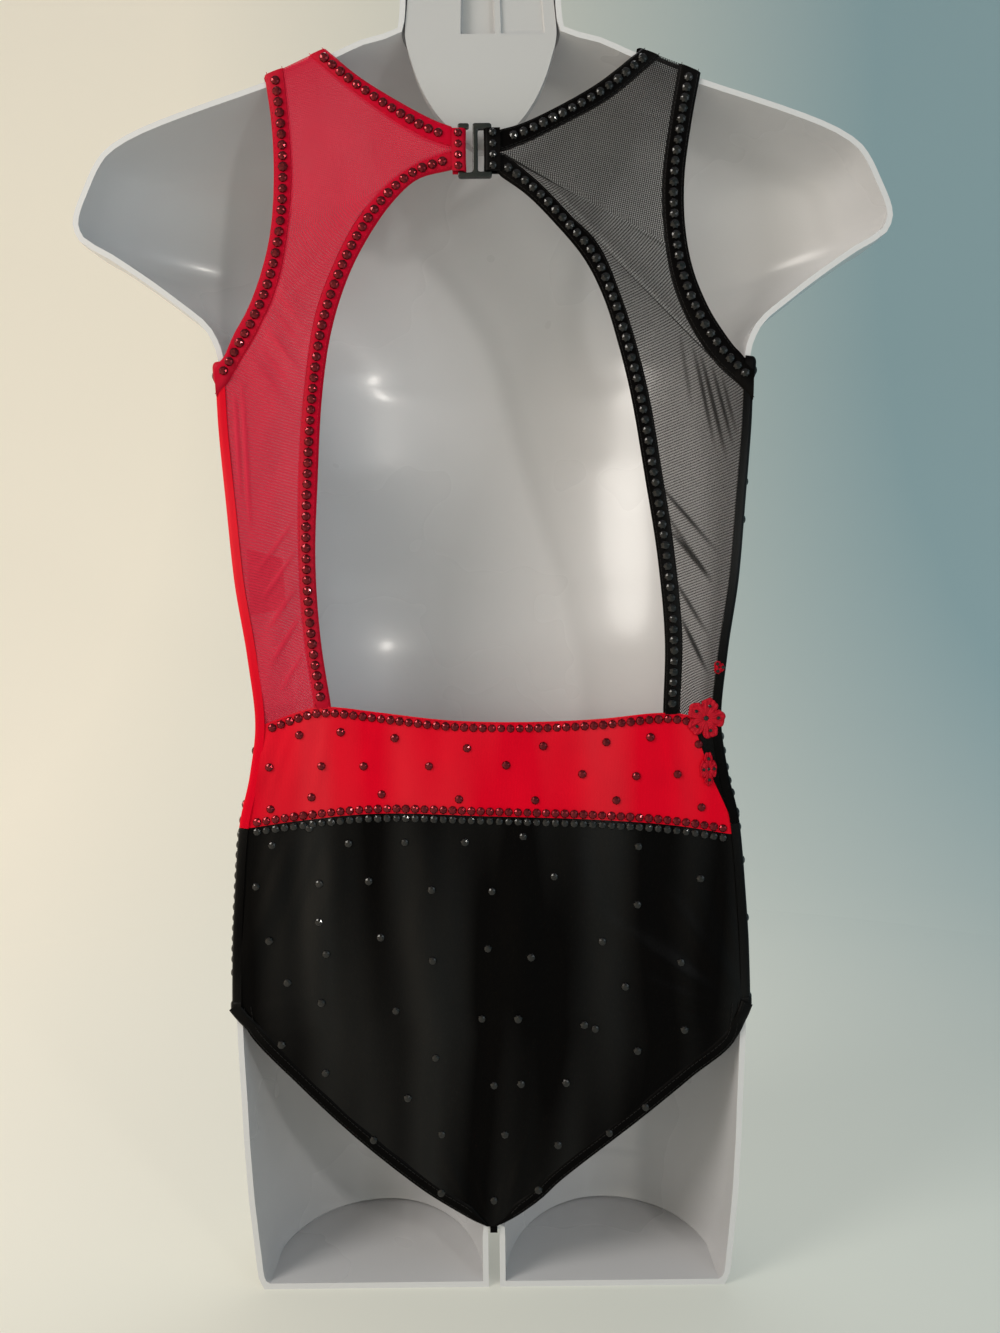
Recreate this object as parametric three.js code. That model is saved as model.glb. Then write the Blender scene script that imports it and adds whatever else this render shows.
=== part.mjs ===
import * as THREE from 'three';

// Leotard on a hollow torso form, in millimetres, +Z up.
// The open back of the form lies in the plane y = 0 and faces -Y, its front bulges towards +Y.

const AXIS_X = 1.4;
const FORM_WALL = 3;
const CLOTH_GAP = 1.4;
const CLOTH_WALL = 1.2;
const BINDING_WALL = 2;
const SEAM_HALF = 0.15;
const CROTCH_Z = 31;
const CROTCH_RISE = 90;
const THIGH_GAP_HALF = 3;
const CHANNEL_SHARE = 0.12;
const SECTION_FULLNESS = 0.8;
const LEG_BLEND_FROM = 70;
const LEG_BLEND_RUN = 60;
const RIM_SPREAD = 1.35;
const END_SPREAD = 0.6;
const FORM_COLUMNS = 13;
const WAIST_SEAM_Z = 247;
const BACK_CLEAR = 0.6;
const WRAP_INSET = 4;
const RIM_REACH = 80;
const RIM_STEP = 0.0006;
const TIGHT_SHARE = 0.01;
const WRAP_STEPS = [WRAP_INSET, 1, 0.5];
const HELD_COLUMNS = WRAP_STEPS.length;
const CENTRE_SEAM = 0.0014;
const UNDERARM_Z = 483.6;
const HIP_Z = 150.2;
const BODICE_COLUMNS = 10;
const BRIEF_COLUMNS = 20;
const BRIEF_LEG_STEPS = 11;
const ARM_STEPS = 16;
const NECK_STEPS = 10;
const NET_COLUMNS = 6;
const BACK_NECK_STEPS = 6;
const BACK_KEY_STEPS = 26;
const BACK_ARM_STEPS = 18;
const BAND_COLUMNS = 24;
const BAND_ROWS = 4;
const SEAT_SIDE_ROWS = 6;
const SEAT_LEG_ROWS = 15;
const LINE_SAMPLES = 160;
const HALVINGS = 30;
const FOLD_START = 0.12;
const FOLD_END = 0.97;
const SEAM_DROP = 4;
const SIDE_INSET = WRAP_INSET - 1 + 3 * SEAM_HALF;
const NET_FOOT_LEFT = 304.8;
const NET_FOOT_RIGHT = 302.2;
const SEAT_END_Z = 33;
const FRAME_Y = 54.4;
const TAB_HALF = 2.65;
const TAB_WALL = 1;
const TAB_Y = -1.6;
const TAB_BOTTOM = 595.7;
const TAB_TOP = 618.2;
const TAB_LEFT_CLOSED = -7;
const TAB_LEFT_OPEN = -14.5;
const TAB_RIGHT_CLOSED = 2.3;
const TAB_RIGHT_OPEN = 11.1;
const SLOT_EASE = 0.4;
const FLOWER_WALL = 1.6;
const FLOWER_SEAT = 2.4;
const FLOWER_EDGE = 0.55;
const PETAL_STEPS = 6;
const PETAL_DIP = 0.22;

// Form outline in the rim plane: half width and depth at each height
const FORM_ROWS = [
  { z: 0, half: 123, depth: 92 },
  { z: 6, half: 126, depth: 94 },
  { z: 18, half: 127.5, depth: 95 },
  { z: 31, half: 129, depth: 96 },
  { z: 34, half: 129.3, depth: 96 },
  { z: 40, half: 130, depth: 96 },
  { z: 50, half: 131, depth: 96 },
  { z: 64, half: 132, depth: 97 },
  { z: 82, half: 133.2, depth: 97 },
  { z: 91, half: 133.6, depth: 97.5 },
  { z: 100, half: 134, depth: 98 },
  { z: 110, half: 134.6, depth: 98.5 },
  { z: 121, half: 135.2, depth: 99 },
  { z: 131, half: 135.7, depth: 99.5 },
  { z: 140, half: 136, depth: 99.7 },
  { z: 150, half: 136.2, depth: 100 },
  { z: 180, half: 135.8, depth: 101 },
  { z: 212, half: 134.2, depth: 99 },
  { z: 247, half: 131.5, depth: 95 },
  { z: 275, half: 125.5, depth: 90 },
  { z: 302, half: 122.3, depth: 87 },
  { z: 337, half: 126, depth: 88 },
  { z: 380, half: 132.8, depth: 95 },
  { z: 420, half: 136.6, depth: 104 },
  { z: 460, half: 140.2, depth: 111 },
  { z: 498, half: 142.6, depth: 112 },
  { z: 512, half: 148, depth: 110 },
  { z: 527, half: 165, depth: 107 },
  { z: 552, half: 200, depth: 101 },
  { z: 562, half: 216, depth: 98 },
  { z: 571, half: 219.5, depth: 96 },
  { z: 592, half: 212.8, depth: 89 },
  { z: 609, half: 203.5, depth: 83 },
  { z: 618, half: 191, depth: 79 },
  { z: 626, half: 173, depth: 75 },
  { z: 636, half: 145, depth: 70 },
  { z: 646, half: 115.5, depth: 64 },
  { z: 654, half: 96, depth: 59 },
  { z: 661, half: 79.5, depth: 54 },
  { z: 668, half: 64, depth: 49 },
  { z: 674, half: 44.5, depth: 46 },
  { z: 690, half: 43, depth: 43 },
  { z: 712, half: 42.5, depth: 40 },
];

// Edges of the back in the rim plane. Each is a table of points from top to bottom.
const ARM_EDGE_LEFT = [
  { x: -114.2, z: 648.5 }, { x: -110.8, z: 622 }, { x: -110, z: 592 }, { x: -112.5, z: 563 },
  { x: -118.6, z: 539.5 }, { x: -125.5, z: 522.5 }, { x: -132, z: 511 }, { x: -137.4, z: 498.5 },
];
const ARM_INNER_LEFT = [
  { x: -103.4, z: 652.5 }, { x: -100.6, z: 622 }, { x: -99.6, z: 592 }, { x: -102.3, z: 563 },
  { x: -108.5, z: 534.3 }, { x: -118.6, z: 512.3 }, { x: -129, z: 495 }, { x: -136.2, z: 484 },
];
const ARM_EDGE_RIGHT = [
  { x: 118.6, z: 647.5 }, { x: 113.6, z: 622 }, { x: 109.4, z: 592 }, { x: 109.6, z: 565 },
  { x: 113.6, z: 542.5 }, { x: 122, z: 521.5 }, { x: 132, z: 505.5 }, { x: 140.2, z: 495 },
];
const ARM_INNER_RIGHT = [
  { x: 107, z: 652.5 }, { x: 101.5, z: 621 }, { x: 97.4, z: 590 }, { x: 98, z: 564 },
  { x: 102.4, z: 536 }, { x: 112, z: 512 }, { x: 125.5, z: 492 }, { x: 138.6, z: 479.5 },
];
const NECK_EDGE_LEFT = [
  { x: -81.5, z: 662.5 }, { x: -63, z: 647 }, { x: -34.7, z: 629.5 }, { x: -23, z: 623.5 },
  { x: -14.8, z: 620.4 },
];
const NECK_INNER_LEFT = [
  { x: -90.5, z: 658.5 }, { x: -67.9, z: 639.2 }, { x: -42.3, z: 620.5 }, { x: -30, z: 613.5 },
  { x: -19, z: 609.3 },
];
const NECK_EDGE_RIGHT = [
  { x: 87, z: 660.5 }, { x: 62.2, z: 641.8 }, { x: 31.3, z: 625.3 }, { x: 20, z: 620.8 },
  { x: 11.4, z: 618.6 },
];
const NECK_INNER_RIGHT = [
  { x: 97, z: 656.5 }, { x: 70, z: 634.5 }, { x: 39, z: 618 }, { x: 26, z: 611.8 },
  { x: 14.4, z: 607.4 },
];
const KEY_EDGE_LEFT = [
  { x: -14.8, z: 597.4 }, { x: -33, z: 592.6 }, { x: -46.5, z: 580.7 }, { x: -61.2, z: 559.8 },
  { x: -71.6, z: 539 }, { x: -80.1, z: 512 }, { x: -85.3, z: 479 }, { x: -88.3, z: 433 },
  { x: -90, z: 388 }, { x: -87.6, z: 347 }, { x: -82.6, z: 312.4 },
];
const KEY_INNER_LEFT = [
  { x: -19, z: 606.8 }, { x: -35, z: 600.2 }, { x: -52.3, z: 587.6 }, { x: -67.4, z: 569 },
  { x: -80.5, z: 543.5 }, { x: -89, z: 520 }, { x: -95.2, z: 481 }, { x: -98.9, z: 433 },
  { x: -99, z: 384 }, { x: -96.7, z: 347 }, { x: -91.8, z: 312.4 },
];
const KEY_EDGE_RIGHT = [
  { x: 11.4, z: 593.6 }, { x: 25, z: 583.6 }, { x: 38.8, z: 569.5 }, { x: 54.8, z: 550 },
  { x: 65.3, z: 529 }, { x: 73, z: 503.7 }, { x: 79.4, z: 476.5 }, { x: 86.7, z: 431 },
  { x: 92.7, z: 390 }, { x: 96.2, z: 345 }, { x: 94.9, z: 307 },
];
const KEY_INNER_RIGHT = [
  { x: 14.4, z: 604.8 }, { x: 32, z: 590 }, { x: 48, z: 573 }, { x: 63.5, z: 556 },
  { x: 74.2, z: 531 }, { x: 82.6, z: 504 }, { x: 89.6, z: 474 }, { x: 96.3, z: 431 },
  { x: 102, z: 391 }, { x: 105.5, z: 345 }, { x: 103.8, z: 306.5 },
];
const BAND_TOP = [
  { x: -117.6, z: 302.4 }, { x: -110, z: 305.2 }, { x: -101.4, z: 308.2 }, { x: -91.7, z: 310.9 },
  { x: -82.1, z: 311.2 }, { x: -57, z: 308 }, { x: -20, z: 303.4 }, { x: 19, z: 302 },
  { x: 60, z: 303.2 }, { x: 91, z: 306 }, { x: 104, z: 305.6 }, { x: 120.4, z: 301 },
];
const BAND_BOTTOM = [
  { x: -126.8, z: 247 }, { x: -101, z: 250.5 }, { x: -60, z: 254 }, { x: 0, z: 252 },
  { x: 60, z: 249.4 }, { x: 100, z: 246 }, { x: 130.2, z: 241 },
];
const LEG_EDGE_LEFT = [
  { x: -131.5, z: 150 }, { x: -129, z: 139 }, { x: -101.4, z: 109.1 }, { x: -69.7, z: 79.4 },
  { x: -37.8, z: 53.9 }, { x: -27.2, z: 46.8 }, { x: -11.3, z: 37.5 }, { x: -2.2, z: 33 },
];
const LEG_EDGE_RIGHT = [
  { x: 134.3, z: 150 }, { x: 131.5, z: 131.5 }, { x: 108, z: 111.6 }, { x: 80.3, z: 89.5 },
  { x: 37.1, z: 56.8 }, { x: 27, z: 47.6 }, { x: 13, z: 38 }, { x: 2.4, z: 33 },
];

// Lines of the front on the form, from its middle: distance sideways and height
const FRONT_NECK_EDGE = [
  { x: 0, z: 613 }, { x: 24, z: 617 }, { x: 44, z: 627 }, { x: 60, z: 641 }, { x: 72, z: 651 },
  { x: 82.9, z: 659.6 },
];
const FRONT_NECK_INNER = [
  { x: 0, z: 602 }, { x: 28, z: 607 }, { x: 50, z: 618.5 }, { x: 68, z: 634 }, { x: 80, z: 646 },
  { x: 91.9, z: 655.7 },
];
const FRONT_ARM_EDGE = [
  { x: 142, z: 496 }, { x: 139, z: 497 }, { x: 133, z: 501 }, { x: 124, z: 513 }, { x: 115, z: 531 },
  { x: 108.5, z: 552 }, { x: 106, z: 577 }, { x: 105.5, z: 601 }, { x: 108, z: 624 },
  { x: 112, z: 638 }, { x: 115.5, z: 646 },
];
const FRONT_ARM_INNER = [
  { x: 141.6, z: 484 }, { x: 138, z: 485 }, { x: 130, z: 490 }, { x: 118, z: 503 }, { x: 106, z: 525 },
  { x: 99, z: 549 }, { x: 95, z: 576 }, { x: 94.5, z: 601 }, { x: 97, z: 625 },
  { x: 101, z: 641 }, { x: 104.9, z: 650.2 },
];
const BRIEF_LEG = [
  { x: 19.6, z: 64 }, { x: 28, z: 82 }, { x: 34, z: 98 }, { x: 51, z: 112 }, { x: 90, z: 128 },
  { x: 112, z: 140 }, { x: 128, z: 146 }, { x: 136.2, z: 149.4 },
];

const GUSSET_PATH = [
  { z: 63.4, half: 19.6 }, { z: 54, half: 14 }, { z: 46, half: 9.6 }, { z: 40, half: 6.2 },
  { z: 36, half: 4 }, { z: 33, half: 2.6 }, { z: 31.6, half: 2 },
];
const GUSSET_END_HALF = 1.9;

// Heights of the rows of the front, below the underarm
const BODICE_LEVELS = [WAIST_SEAM_Z + SEAM_HALF, 275, 302, 337, 380, 420, 460, 474, UNDERARM_Z];
const BRIEF_LEVELS = [WAIST_SEAM_Z - SEAM_HALF, 212, 180, HIP_Z];

// Largest folds of the back: a ridge from one point to another, its height and half width
const SEAT_FOLDS = [
  { x0: -101, z0: 246, x1: -134, z1: 160, lift: 2.4, wide: 7 },
  { x0: -78, z0: 243, x1: -96, z1: 150, lift: 1.5, wide: 9 },
  { x0: -34, z0: 240, x1: -28, z1: 80, lift: 1.8, wide: 12 },
  { x0: 20, z0: 236, x1: 12, z1: 62, lift: 1.6, wide: 10 },
  { x0: 132, z0: 148, x1: 62, z1: 196, lift: 2.2, wide: 6 },
  { x0: 133, z0: 144, x1: 76, z1: 166, lift: 1.8, wide: 5 },
  { x0: 134, z0: 152, x1: 92, z1: 214, lift: 1.6, wide: 7 },
  { x0: -8, z0: 38, x1: -26, z1: 74, lift: 1.4, wide: 4 },
  { x0: 6, z0: 38, x1: 20, z1: 70, lift: 1.4, wide: 4 },
];
const MESH_FOLDS_LEFT = [
  { x0: -108, z0: 538, x1: -92, z1: 512, lift: 1, wide: 4 },
  { x0: -116, z0: 520, x1: -96, z1: 484, lift: 1.2, wide: 4 },
  { x0: -126, z0: 502, x1: -100, z1: 460, lift: 1, wide: 5 },
  { x0: -118, z0: 322, x1: -101, z1: 388, lift: 1.3, wide: 6 },
];
const MESH_FOLDS_RIGHT = [
  { x0: 118, z0: 494, x1: 132, z1: 432, lift: 1.3, wide: 4 },
  { x0: 112, z0: 500, x1: 121, z1: 420, lift: 1, wide: 4 },
  { x0: 96, z0: 420, x1: 126, z1: 376, lift: 1.2, wide: 5 },
  { x0: 103, z0: 356, x1: 118, z1: 322, lift: 1.1, wide: 5 },
];
const BAND_FOLDS = [
  { x0: -114, z0: 296, x1: -128, z1: 256, lift: 1.4, wide: 5 },
  { x0: -96, z0: 304, x1: -106, z1: 260, lift: 1, wide: 6 },
  { x0: 108, z0: 296, x1: 120, z1: 252, lift: 1, wide: 5 },
];

const FLOWERS = [
  { x: 117.4, z: 303, wide: 10.4, tall: 11, petals: 5 },
  { x: 124.6, z: 330, wide: 3, tall: 3.6, petals: 3 },
  { x: 118.4, z: 276, wide: 4.6, tall: 9, petals: 4 },
];

// Neck plate of the form: half width at each height, then places across it with the depth of its
// two pockets, which start above POCKET_Z
const NECK_PLATE = [
  { z: 611, half: 2.5 }, { z: 614.5, half: 8 }, { z: 621, half: 15.8 }, { z: 630, half: 24.5 },
  { z: 642, half: 32 }, { z: 657, half: 37.5 }, { z: 671.2, half: 40.6 }, { z: 671.6, half: 40.6 },
  { z: 690, half: 39.2 }, { z: 708.4, half: 38.6 },
];
const NECK_PLACES = [
  { share: -1, pocket: 0 }, { share: -0.64, pocket: 0 }, { share: -0.273, pocket: 0 },
  { share: -0.263, pocket: 5 }, { share: -0.037, pocket: 5 }, { share: 0.185, pocket: 5 },
  { share: 0.195, pocket: 0 }, { share: 0.259, pocket: 0 }, { share: 0.269, pocket: 1.6 },
  { share: 0.54, pocket: 1.6 }, { share: 0.842, pocket: 1.6 }, { share: 0.852, pocket: 0 },
  { share: 1, pocket: 0 },
];
const POCKET_Z = 671.4;
const NECK_PLATE_Y = 1;
const NECK_PLATE_WALL = 6.5;
const TIP_DEPTH = 5;
const TIP_RUN = 40;

// Square ends of the bindings at the closure: free edge and seam
const NECK_END = {
  left: [{ x: -14.8, z: 616.4 }, { x: -14.8, z: 608.5 }],
  right: [{ x: 11.4, z: 614.8 }, { x: 11.4, z: 606.8 }],
};
const KEY_END = {
  left: [{ x: -14.8, z: 600.4 }, { x: -14.8, z: 607.5 }],
  right: [{ x: 11.4, z: 597 }, { x: 11.4, z: 605.4 }],
};

// Hook, in the rim plane: its bars, the free end of its open hook and its closed slot
const HOOK = {
  left: -11.5, nub: -5.4, gap: -3.6, bar: 2.8, right: 6.6, low: 592.4, high: 621.5, thick: 2.6,
};

const RED = 0xb8001e;
const BLACK = 0x141214;
const RED_NET = 0xc24a58;
const BLACK_NET = 0x5a5452;
const WHITE = 0xe8eaf0;
const PLASTIC = 0x1a201c;

const mix = (a, b, t) => a + (b - a) * t;
const clamp = (v, low, high) => Math.min(high, Math.max(low, v));
const smooth = (t) => t * t * (3 - 2 * t);

// Share across a half section, closer together at the rim
const rimDense = (t) => t ** RIM_SPREAD;

// Share along a line, closer together at both its ends
const endsDense = (t) => mix(t, (1 - Math.cos(Math.PI * t)) / 2, END_SPREAD);

// Value of one column of a table at a height, between its rows
function column(rows, key, name) {
  return (at) => {
    let k = 1;
    while (k < rows.length - 1 && rows[k][key] < at) k += 1;
    const t = clamp((at - rows[k - 1][key]) / (rows[k][key] - rows[k - 1][key]), 0, 1);
    return mix(rows[k - 1][name], rows[k][name], t);
  };
}

const formHalf = column(FORM_ROWS, 'z', 'half');
const formDepth = column(FORM_ROWS, 'z', 'depth');

// Depth of the crotch floor over the rim plane
function floorDepth(z) {
  const rise = clamp((z - CROTCH_Z) / CROTCH_RISE, 0, 1);
  return formDepth(z) * Math.sqrt(1 - (1 - rise) * (1 - rise));
}

// Point on the form's outside: p runs from -1 at the left rim over the front to 1 at the right rim
function formPoint(p, z) {
  const half = formHalf(z);
  const depth = formDepth(z);
  const side = Math.sign(p) || 1;
  const share = Math.min(1, Math.abs(p));
  const torsoX = half * Math.sin(share * Math.PI / 2);
  const torsoY = depth * Math.cos(share * Math.PI / 2) ** SECTION_FULLNESS;
  const legWeight = 1 - smooth(clamp((z - LEG_BLEND_FROM) / LEG_BLEND_RUN, 0, 1));
  if (legWeight === 0) return new THREE.Vector3(AXIS_X + side * torsoX, torsoY, z);
  const floor = floorDepth(z);
  const thighMid = (half + THIGH_GAP_HALF) / 2;
  const thighHalf = (half - THIGH_GAP_HALF) / 2;
  const endAngle = Math.acos(clamp(floor / depth, 0, 1));
  let legX;
  let legY;
  if (share < CHANNEL_SHARE) {
    legX = (thighMid - thighHalf * Math.sin(endAngle)) * share / CHANNEL_SHARE;
    legY = floor;
  } else {
    const t = (share - CHANNEL_SHARE) / (1 - CHANNEL_SHARE);
    const angle = mix(-endAngle, Math.PI / 2, t);
    legX = thighMid + thighHalf * Math.sin(angle);
    const round = Math.cos(angle);
    legY = angle > 0 ? depth * round ** SECTION_FULLNESS : Math.max(depth * round, floor);
  }
  const x = mix(torsoX, legX, legWeight);
  const y = mix(torsoY, legY, legWeight);
  return new THREE.Vector3(AXIS_X + side * x, y, z);
}

// Outward normal of the form, flat in the rim plane at the rim
function formNormal(p, z) {
  const stepP = 0.004;
  const stepZ = 0.6;
  const alongP = formPoint(Math.min(1, p + stepP), z).sub(formPoint(Math.max(-1, p - stepP), z));
  const alongZ = formPoint(p, z + stepZ).sub(formPoint(p, z - stepZ));
  const normal = alongZ.cross(alongP);
  if (Math.abs(p) > 0.999) normal.y = 0;
  return normal.normalize();
}

// Place p of a given x at a height
function placeAt(x, z) {
  let low = -1;
  let high = 1;
  for (let k = 0; k < HALVINGS; k += 1) {
    const middle = (low + high) / 2;
    if (formPoint(middle, z).x < x) low = middle;
    else high = middle;
  }
  return (low + high) / 2;
}

// Height of the folds over the smooth cloth
function foldLift(folds, x, z) {
  let lift = 0;
  for (const fold of folds) {
    const runX = fold.x1 - fold.x0;
    const runZ = fold.z1 - fold.z0;
    const length = Math.hypot(runX, runZ);
    const along = clamp(((x - fold.x0) * runX + (z - fold.z0) * runZ) / (length * length), 0, 1);
    const away = Math.hypot(x - fold.x0 - along * runX, z - fold.z0 - along * runZ);
    const taper = Math.sin(Math.PI * mix(FOLD_START, FOLD_END, along));
    lift += fold.lift * taper * Math.exp(-(away * away) / (fold.wide * fold.wide));
  }
  return lift;
}

// Inner face of the back cloth, stretched just outside the rim plane
const backInner = (folds, x, z) => -BACK_CLEAR - foldLift(folds, x, z);

// Closed wall between two grids of points with the same rows and columns
function wall(outer, inner, closed = false) {
  const rows = outer.length;
  const cols = outer[0].length;
  const positions = [];
  const indices = [];
  for (const grid of [outer, inner]) {
    for (const row of grid) for (const point of row) positions.push(point.x, point.y, point.z);
  }
  const id = (layer, r, c) => layer * rows * cols + (r % rows) * cols + c;
  const quad = (a, b, c, d) => indices.push(a, b, c, a, c, d);
  const spans = closed ? rows : rows - 1;
  for (let r = 0; r < spans; r += 1) {
    for (let c = 0; c < cols - 1; c += 1) {
      quad(id(0, r, c), id(0, r, c + 1), id(0, r + 1, c + 1), id(0, r + 1, c));
      quad(id(1, r, c), id(1, r + 1, c), id(1, r + 1, c + 1), id(1, r, c + 1));
    }
    quad(id(0, r, 0), id(0, r + 1, 0), id(1, r + 1, 0), id(1, r, 0));
    quad(id(0, r, cols - 1), id(1, r, cols - 1), id(1, r + 1, cols - 1), id(0, r + 1, cols - 1));
  }
  if (!closed) {
    for (let c = 0; c < cols - 1; c += 1) {
      quad(id(0, 0, c), id(1, 0, c), id(1, 0, c + 1), id(0, 0, c + 1));
      quad(id(0, rows - 1, c), id(0, rows - 1, c + 1), id(1, rows - 1, c + 1), id(1, rows - 1, c));
    }
  }
  return facingOut(positions, indices);
}

// Geometry from points and faces, turned so that its volume is positive
function facingOut(positions, indices) {
  let volume = 0;
  const corner = (k) => new THREE.Vector3().fromArray(positions, 3 * k);
  for (let k = 0; k < indices.length; k += 3) {
    const [a, b, c] = [corner(indices[k]), corner(indices[k + 1]), corner(indices[k + 2])];
    volume += a.dot(b.cross(c));
  }
  const faces = volume > 0 ? indices : indices.slice().reverse();
  const geometry = new THREE.BufferGeometry();
  geometry.setAttribute('position', new THREE.Float32BufferAttribute(positions, 3));
  geometry.setIndex(faces);
  return geometry;
}

const group = new THREE.Group();

function add(name, geometry, color, roughness = 0.6) {
  geometry.computeVertexNormals();
  const mesh = new THREE.Mesh(geometry, new THREE.MeshStandardMaterial({ color, roughness }));
  mesh.name = name;
  group.add(mesh);
  return mesh;
}

// Points spread evenly along a table's line
function alongLine(rows, count) {
  const points = rows.map((row) => new THREE.Vector3(row.x, 0, row.z));
  const curve = new THREE.CatmullRomCurve3(points, false, 'centripetal');
  return curve.getSpacedPoints(count).map((point) => ({ x: point.x, z: point.z }));
}

// Line moved sideways by half a seam, towards another line
function easedTowards(line, other, by) {
  return line.map((point, k) => {
    const run = Math.hypot(other[k].x - point.x, other[k].z - point.z) || 1;
    const t = by / run;
    return { x: mix(point.x, other[k].x, t), z: mix(point.z, other[k].z, t) };
  });
}

// Ruled strip of back cloth between two lines of the rim plane
function backPatch(lineA, lineB, cols, folds, thickness, edges = [1, 1]) {
  const from = easedTowards(lineA, lineB, SEAM_HALF * edges[0]);
  const to = easedTowards(lineB, lineA, SEAM_HALF * edges[1]);
  const inner = [];
  const outer = [];
  for (let r = 0; r < from.length; r += 1) {
    const innerRow = [];
    const outerRow = [];
    for (let c = 0; c <= cols; c += 1) {
      const x = mix(from[r].x, to[r].x, c / cols);
      const z = mix(from[r].z, to[r].z, c / cols);
      const y = backInner(folds, x, z);
      innerRow.push(new THREE.Vector3(x, y, z));
      outerRow.push(new THREE.Vector3(x, y - thickness, z));
    }
    inner.push(innerRow);
    outer.push(outerRow);
  }
  return wall(outer, inner);
}

// Torso form: one hollow shell with closed thigh ends and a closed neck end
function formShell() {
  const places = [-CHANNEL_SHARE, 0, CHANNEL_SHARE];
  for (let k = 1; k <= FORM_COLUMNS; k += 1) {
    const share = mix(1, CHANNEL_SHARE, rimDense(1 - k / FORM_COLUMNS));
    places.unshift(-share);
    places.push(share);
  }
  const points = [];
  const normals = [];
  const faces = [];
  const found = new Map();
  const vertex = (point, rimmed) => {
    const key = [point.x, point.y, point.z].map((v) => Math.round(v * 1000)).join();
    if (!found.has(key)) {
      found.set(key, points.length);
      points.push(point);
      normals.push({ sum: new THREE.Vector3(), rimmed });
    }
    return found.get(key);
  };
  const face = (a, b, c) => {
    if (a === b || b === c || c === a) return;
    faces.push([a, b, c]);
    const normal = points[b].clone().sub(points[a]).cross(points[c].clone().sub(points[a]));
    for (const k of [a, b, c]) normals[k].sum.add(normal);
  };
  const rows = FORM_ROWS.map(({ z }) => places.map((p) => formPoint(p, z)));
  const flat = (row) => row.map((point) => new THREE.Vector3(point.x, 0, point.z));
  const strip = (low, high, from, to) => {
    for (let k = from; k < to; k += 1) {
      const ids = [low[k], low[k + 1], high[k + 1], high[k]].map((point) => (
        vertex(point, Math.abs(point.y) < 0.001)));
      face(ids[0], ids[2], ids[1]);
      face(ids[0], ids[3], ids[2]);
    }
  };
  const crotchRow = FORM_ROWS.findIndex(({ z }) => z === CROTCH_Z);
  const last = places.length - 1;
  for (const [from, to] of [[0, FORM_COLUMNS], [FORM_COLUMNS + 2, last]]) {
    strip(flat(rows[0]), rows[0], from, to);
    for (let r = 0; r < crotchRow; r += 1) strip(rows[r], rows[r + 1], from, to);
  }
  for (let r = crotchRow; r < rows.length - 1; r += 1) strip(rows[r], rows[r + 1], 0, last);
  strip(rows[rows.length - 1], flat(rows[rows.length - 1]), 0, last);
  const inside = points.map((point, k) => {
    const normal = normals[k].sum.clone();
    if (normals[k].rimmed) normal.y = 0;
    return point.clone().addScaledVector(normal.normalize(), -FORM_WALL);
  });
  const positions = [...points, ...inside].flatMap((point) => point.toArray());
  const indices = [];
  const edges = new Map();
  for (const [a, b, c] of faces) {
    indices.push(a, b, c, a + points.length, c + points.length, b + points.length);
    for (const [from, to] of [[a, b], [b, c], [c, a]]) edges.set(`${from},${to}`, [from, to]);
  }
  for (const [from, to] of edges.values()) {
    if (edges.has(`${to},${from}`)) continue;
    indices.push(from, from + points.length, to + points.length, from, to + points.length, to);
  }
  return facingOut(positions, indices);
}

// Flat plate in the form's neck, deeper towards its tip, with the pockets that it is hung by
function neckPlate() {
  const grid = (back) => NECK_PLATE.map(({ z, half }) => NECK_PLACES.map(({ share, pocket }) => {
    const rise = clamp((z - NECK_PLATE[0].z) / TIP_RUN, 0, 1);
    const face = NECK_PLATE_Y + TIP_DEPTH * (1 - smooth(rise));
    const depth = back ? NECK_PLATE_WALL : 0;
    const cut = !back && z > POCKET_Z ? pocket : 0;
    return new THREE.Vector3(AXIS_X + share * half, face + depth + cut, z);
  }));
  return wall(grid(false), grid(true));
}

// Front cloth point: lift is the distance out from the form, wrap runs round the rim edge
function frontPoint(p, z, lift, wrap = 0) {
  if (wrap === 0) return formPoint(p, z).addScaledVector(formNormal(p, z), lift);
  const rim = formPoint(Math.sign(p), z);
  const out = formNormal(Math.sign(p), z);
  const turn = Math.min(wrap, 1) * Math.PI / 2;
  const point = rim.addScaledVector(out, lift * Math.cos(turn));
  point.y -= lift * Math.sin(turn);
  return point.addScaledVector(out, -Math.max(0, wrap - 1));
}

// Wall of front cloth from rows of places on the form
function frontPatch(rows, thickness = CLOTH_WALL) {
  const grid = (lift) => rows.map((row) => (
    row.map((place) => frontPoint(place.p, place.z, lift, place.wrap || 0))));
  return wall(grid(CLOTH_GAP + thickness), grid(CLOTH_GAP));
}

// Places along a table's line on the form, evenly spaced over its surface
function onForm(rows, count) {
  const points = rows.map((row) => new THREE.Vector3(row.x, 0, row.z));
  const curve = new THREE.CatmullRomCurve3(points, false, 'centripetal');
  const samples = [];
  let length = 0;
  for (let k = 0; k <= LINE_SAMPLES; k += 1) {
    const flatPoint = curve.getPoint(k / LINE_SAMPLES);
    const reach = Math.min(flatPoint.x, formHalf(flatPoint.z));
    const p = k === LINE_SAMPLES && reach > RIM_REACH ? 1 : placeAt(AXIS_X + reach, flatPoint.z);
    const point = formPoint(p, flatPoint.z);
    if (k > 0) length += point.distanceTo(samples[k - 1].point);
    samples.push({ p, z: flatPoint.z, point, length });
  }
  const line = [];
  let k = 0;
  for (let step = 0; step <= count; step += 1) {
    while (k < LINE_SAMPLES && samples[k].length < length * endsDense(step / count) - 1e-6) k += 1;
    line.push({ p: samples[k].p, z: samples[k].z });
  }
  return line;
}

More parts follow.
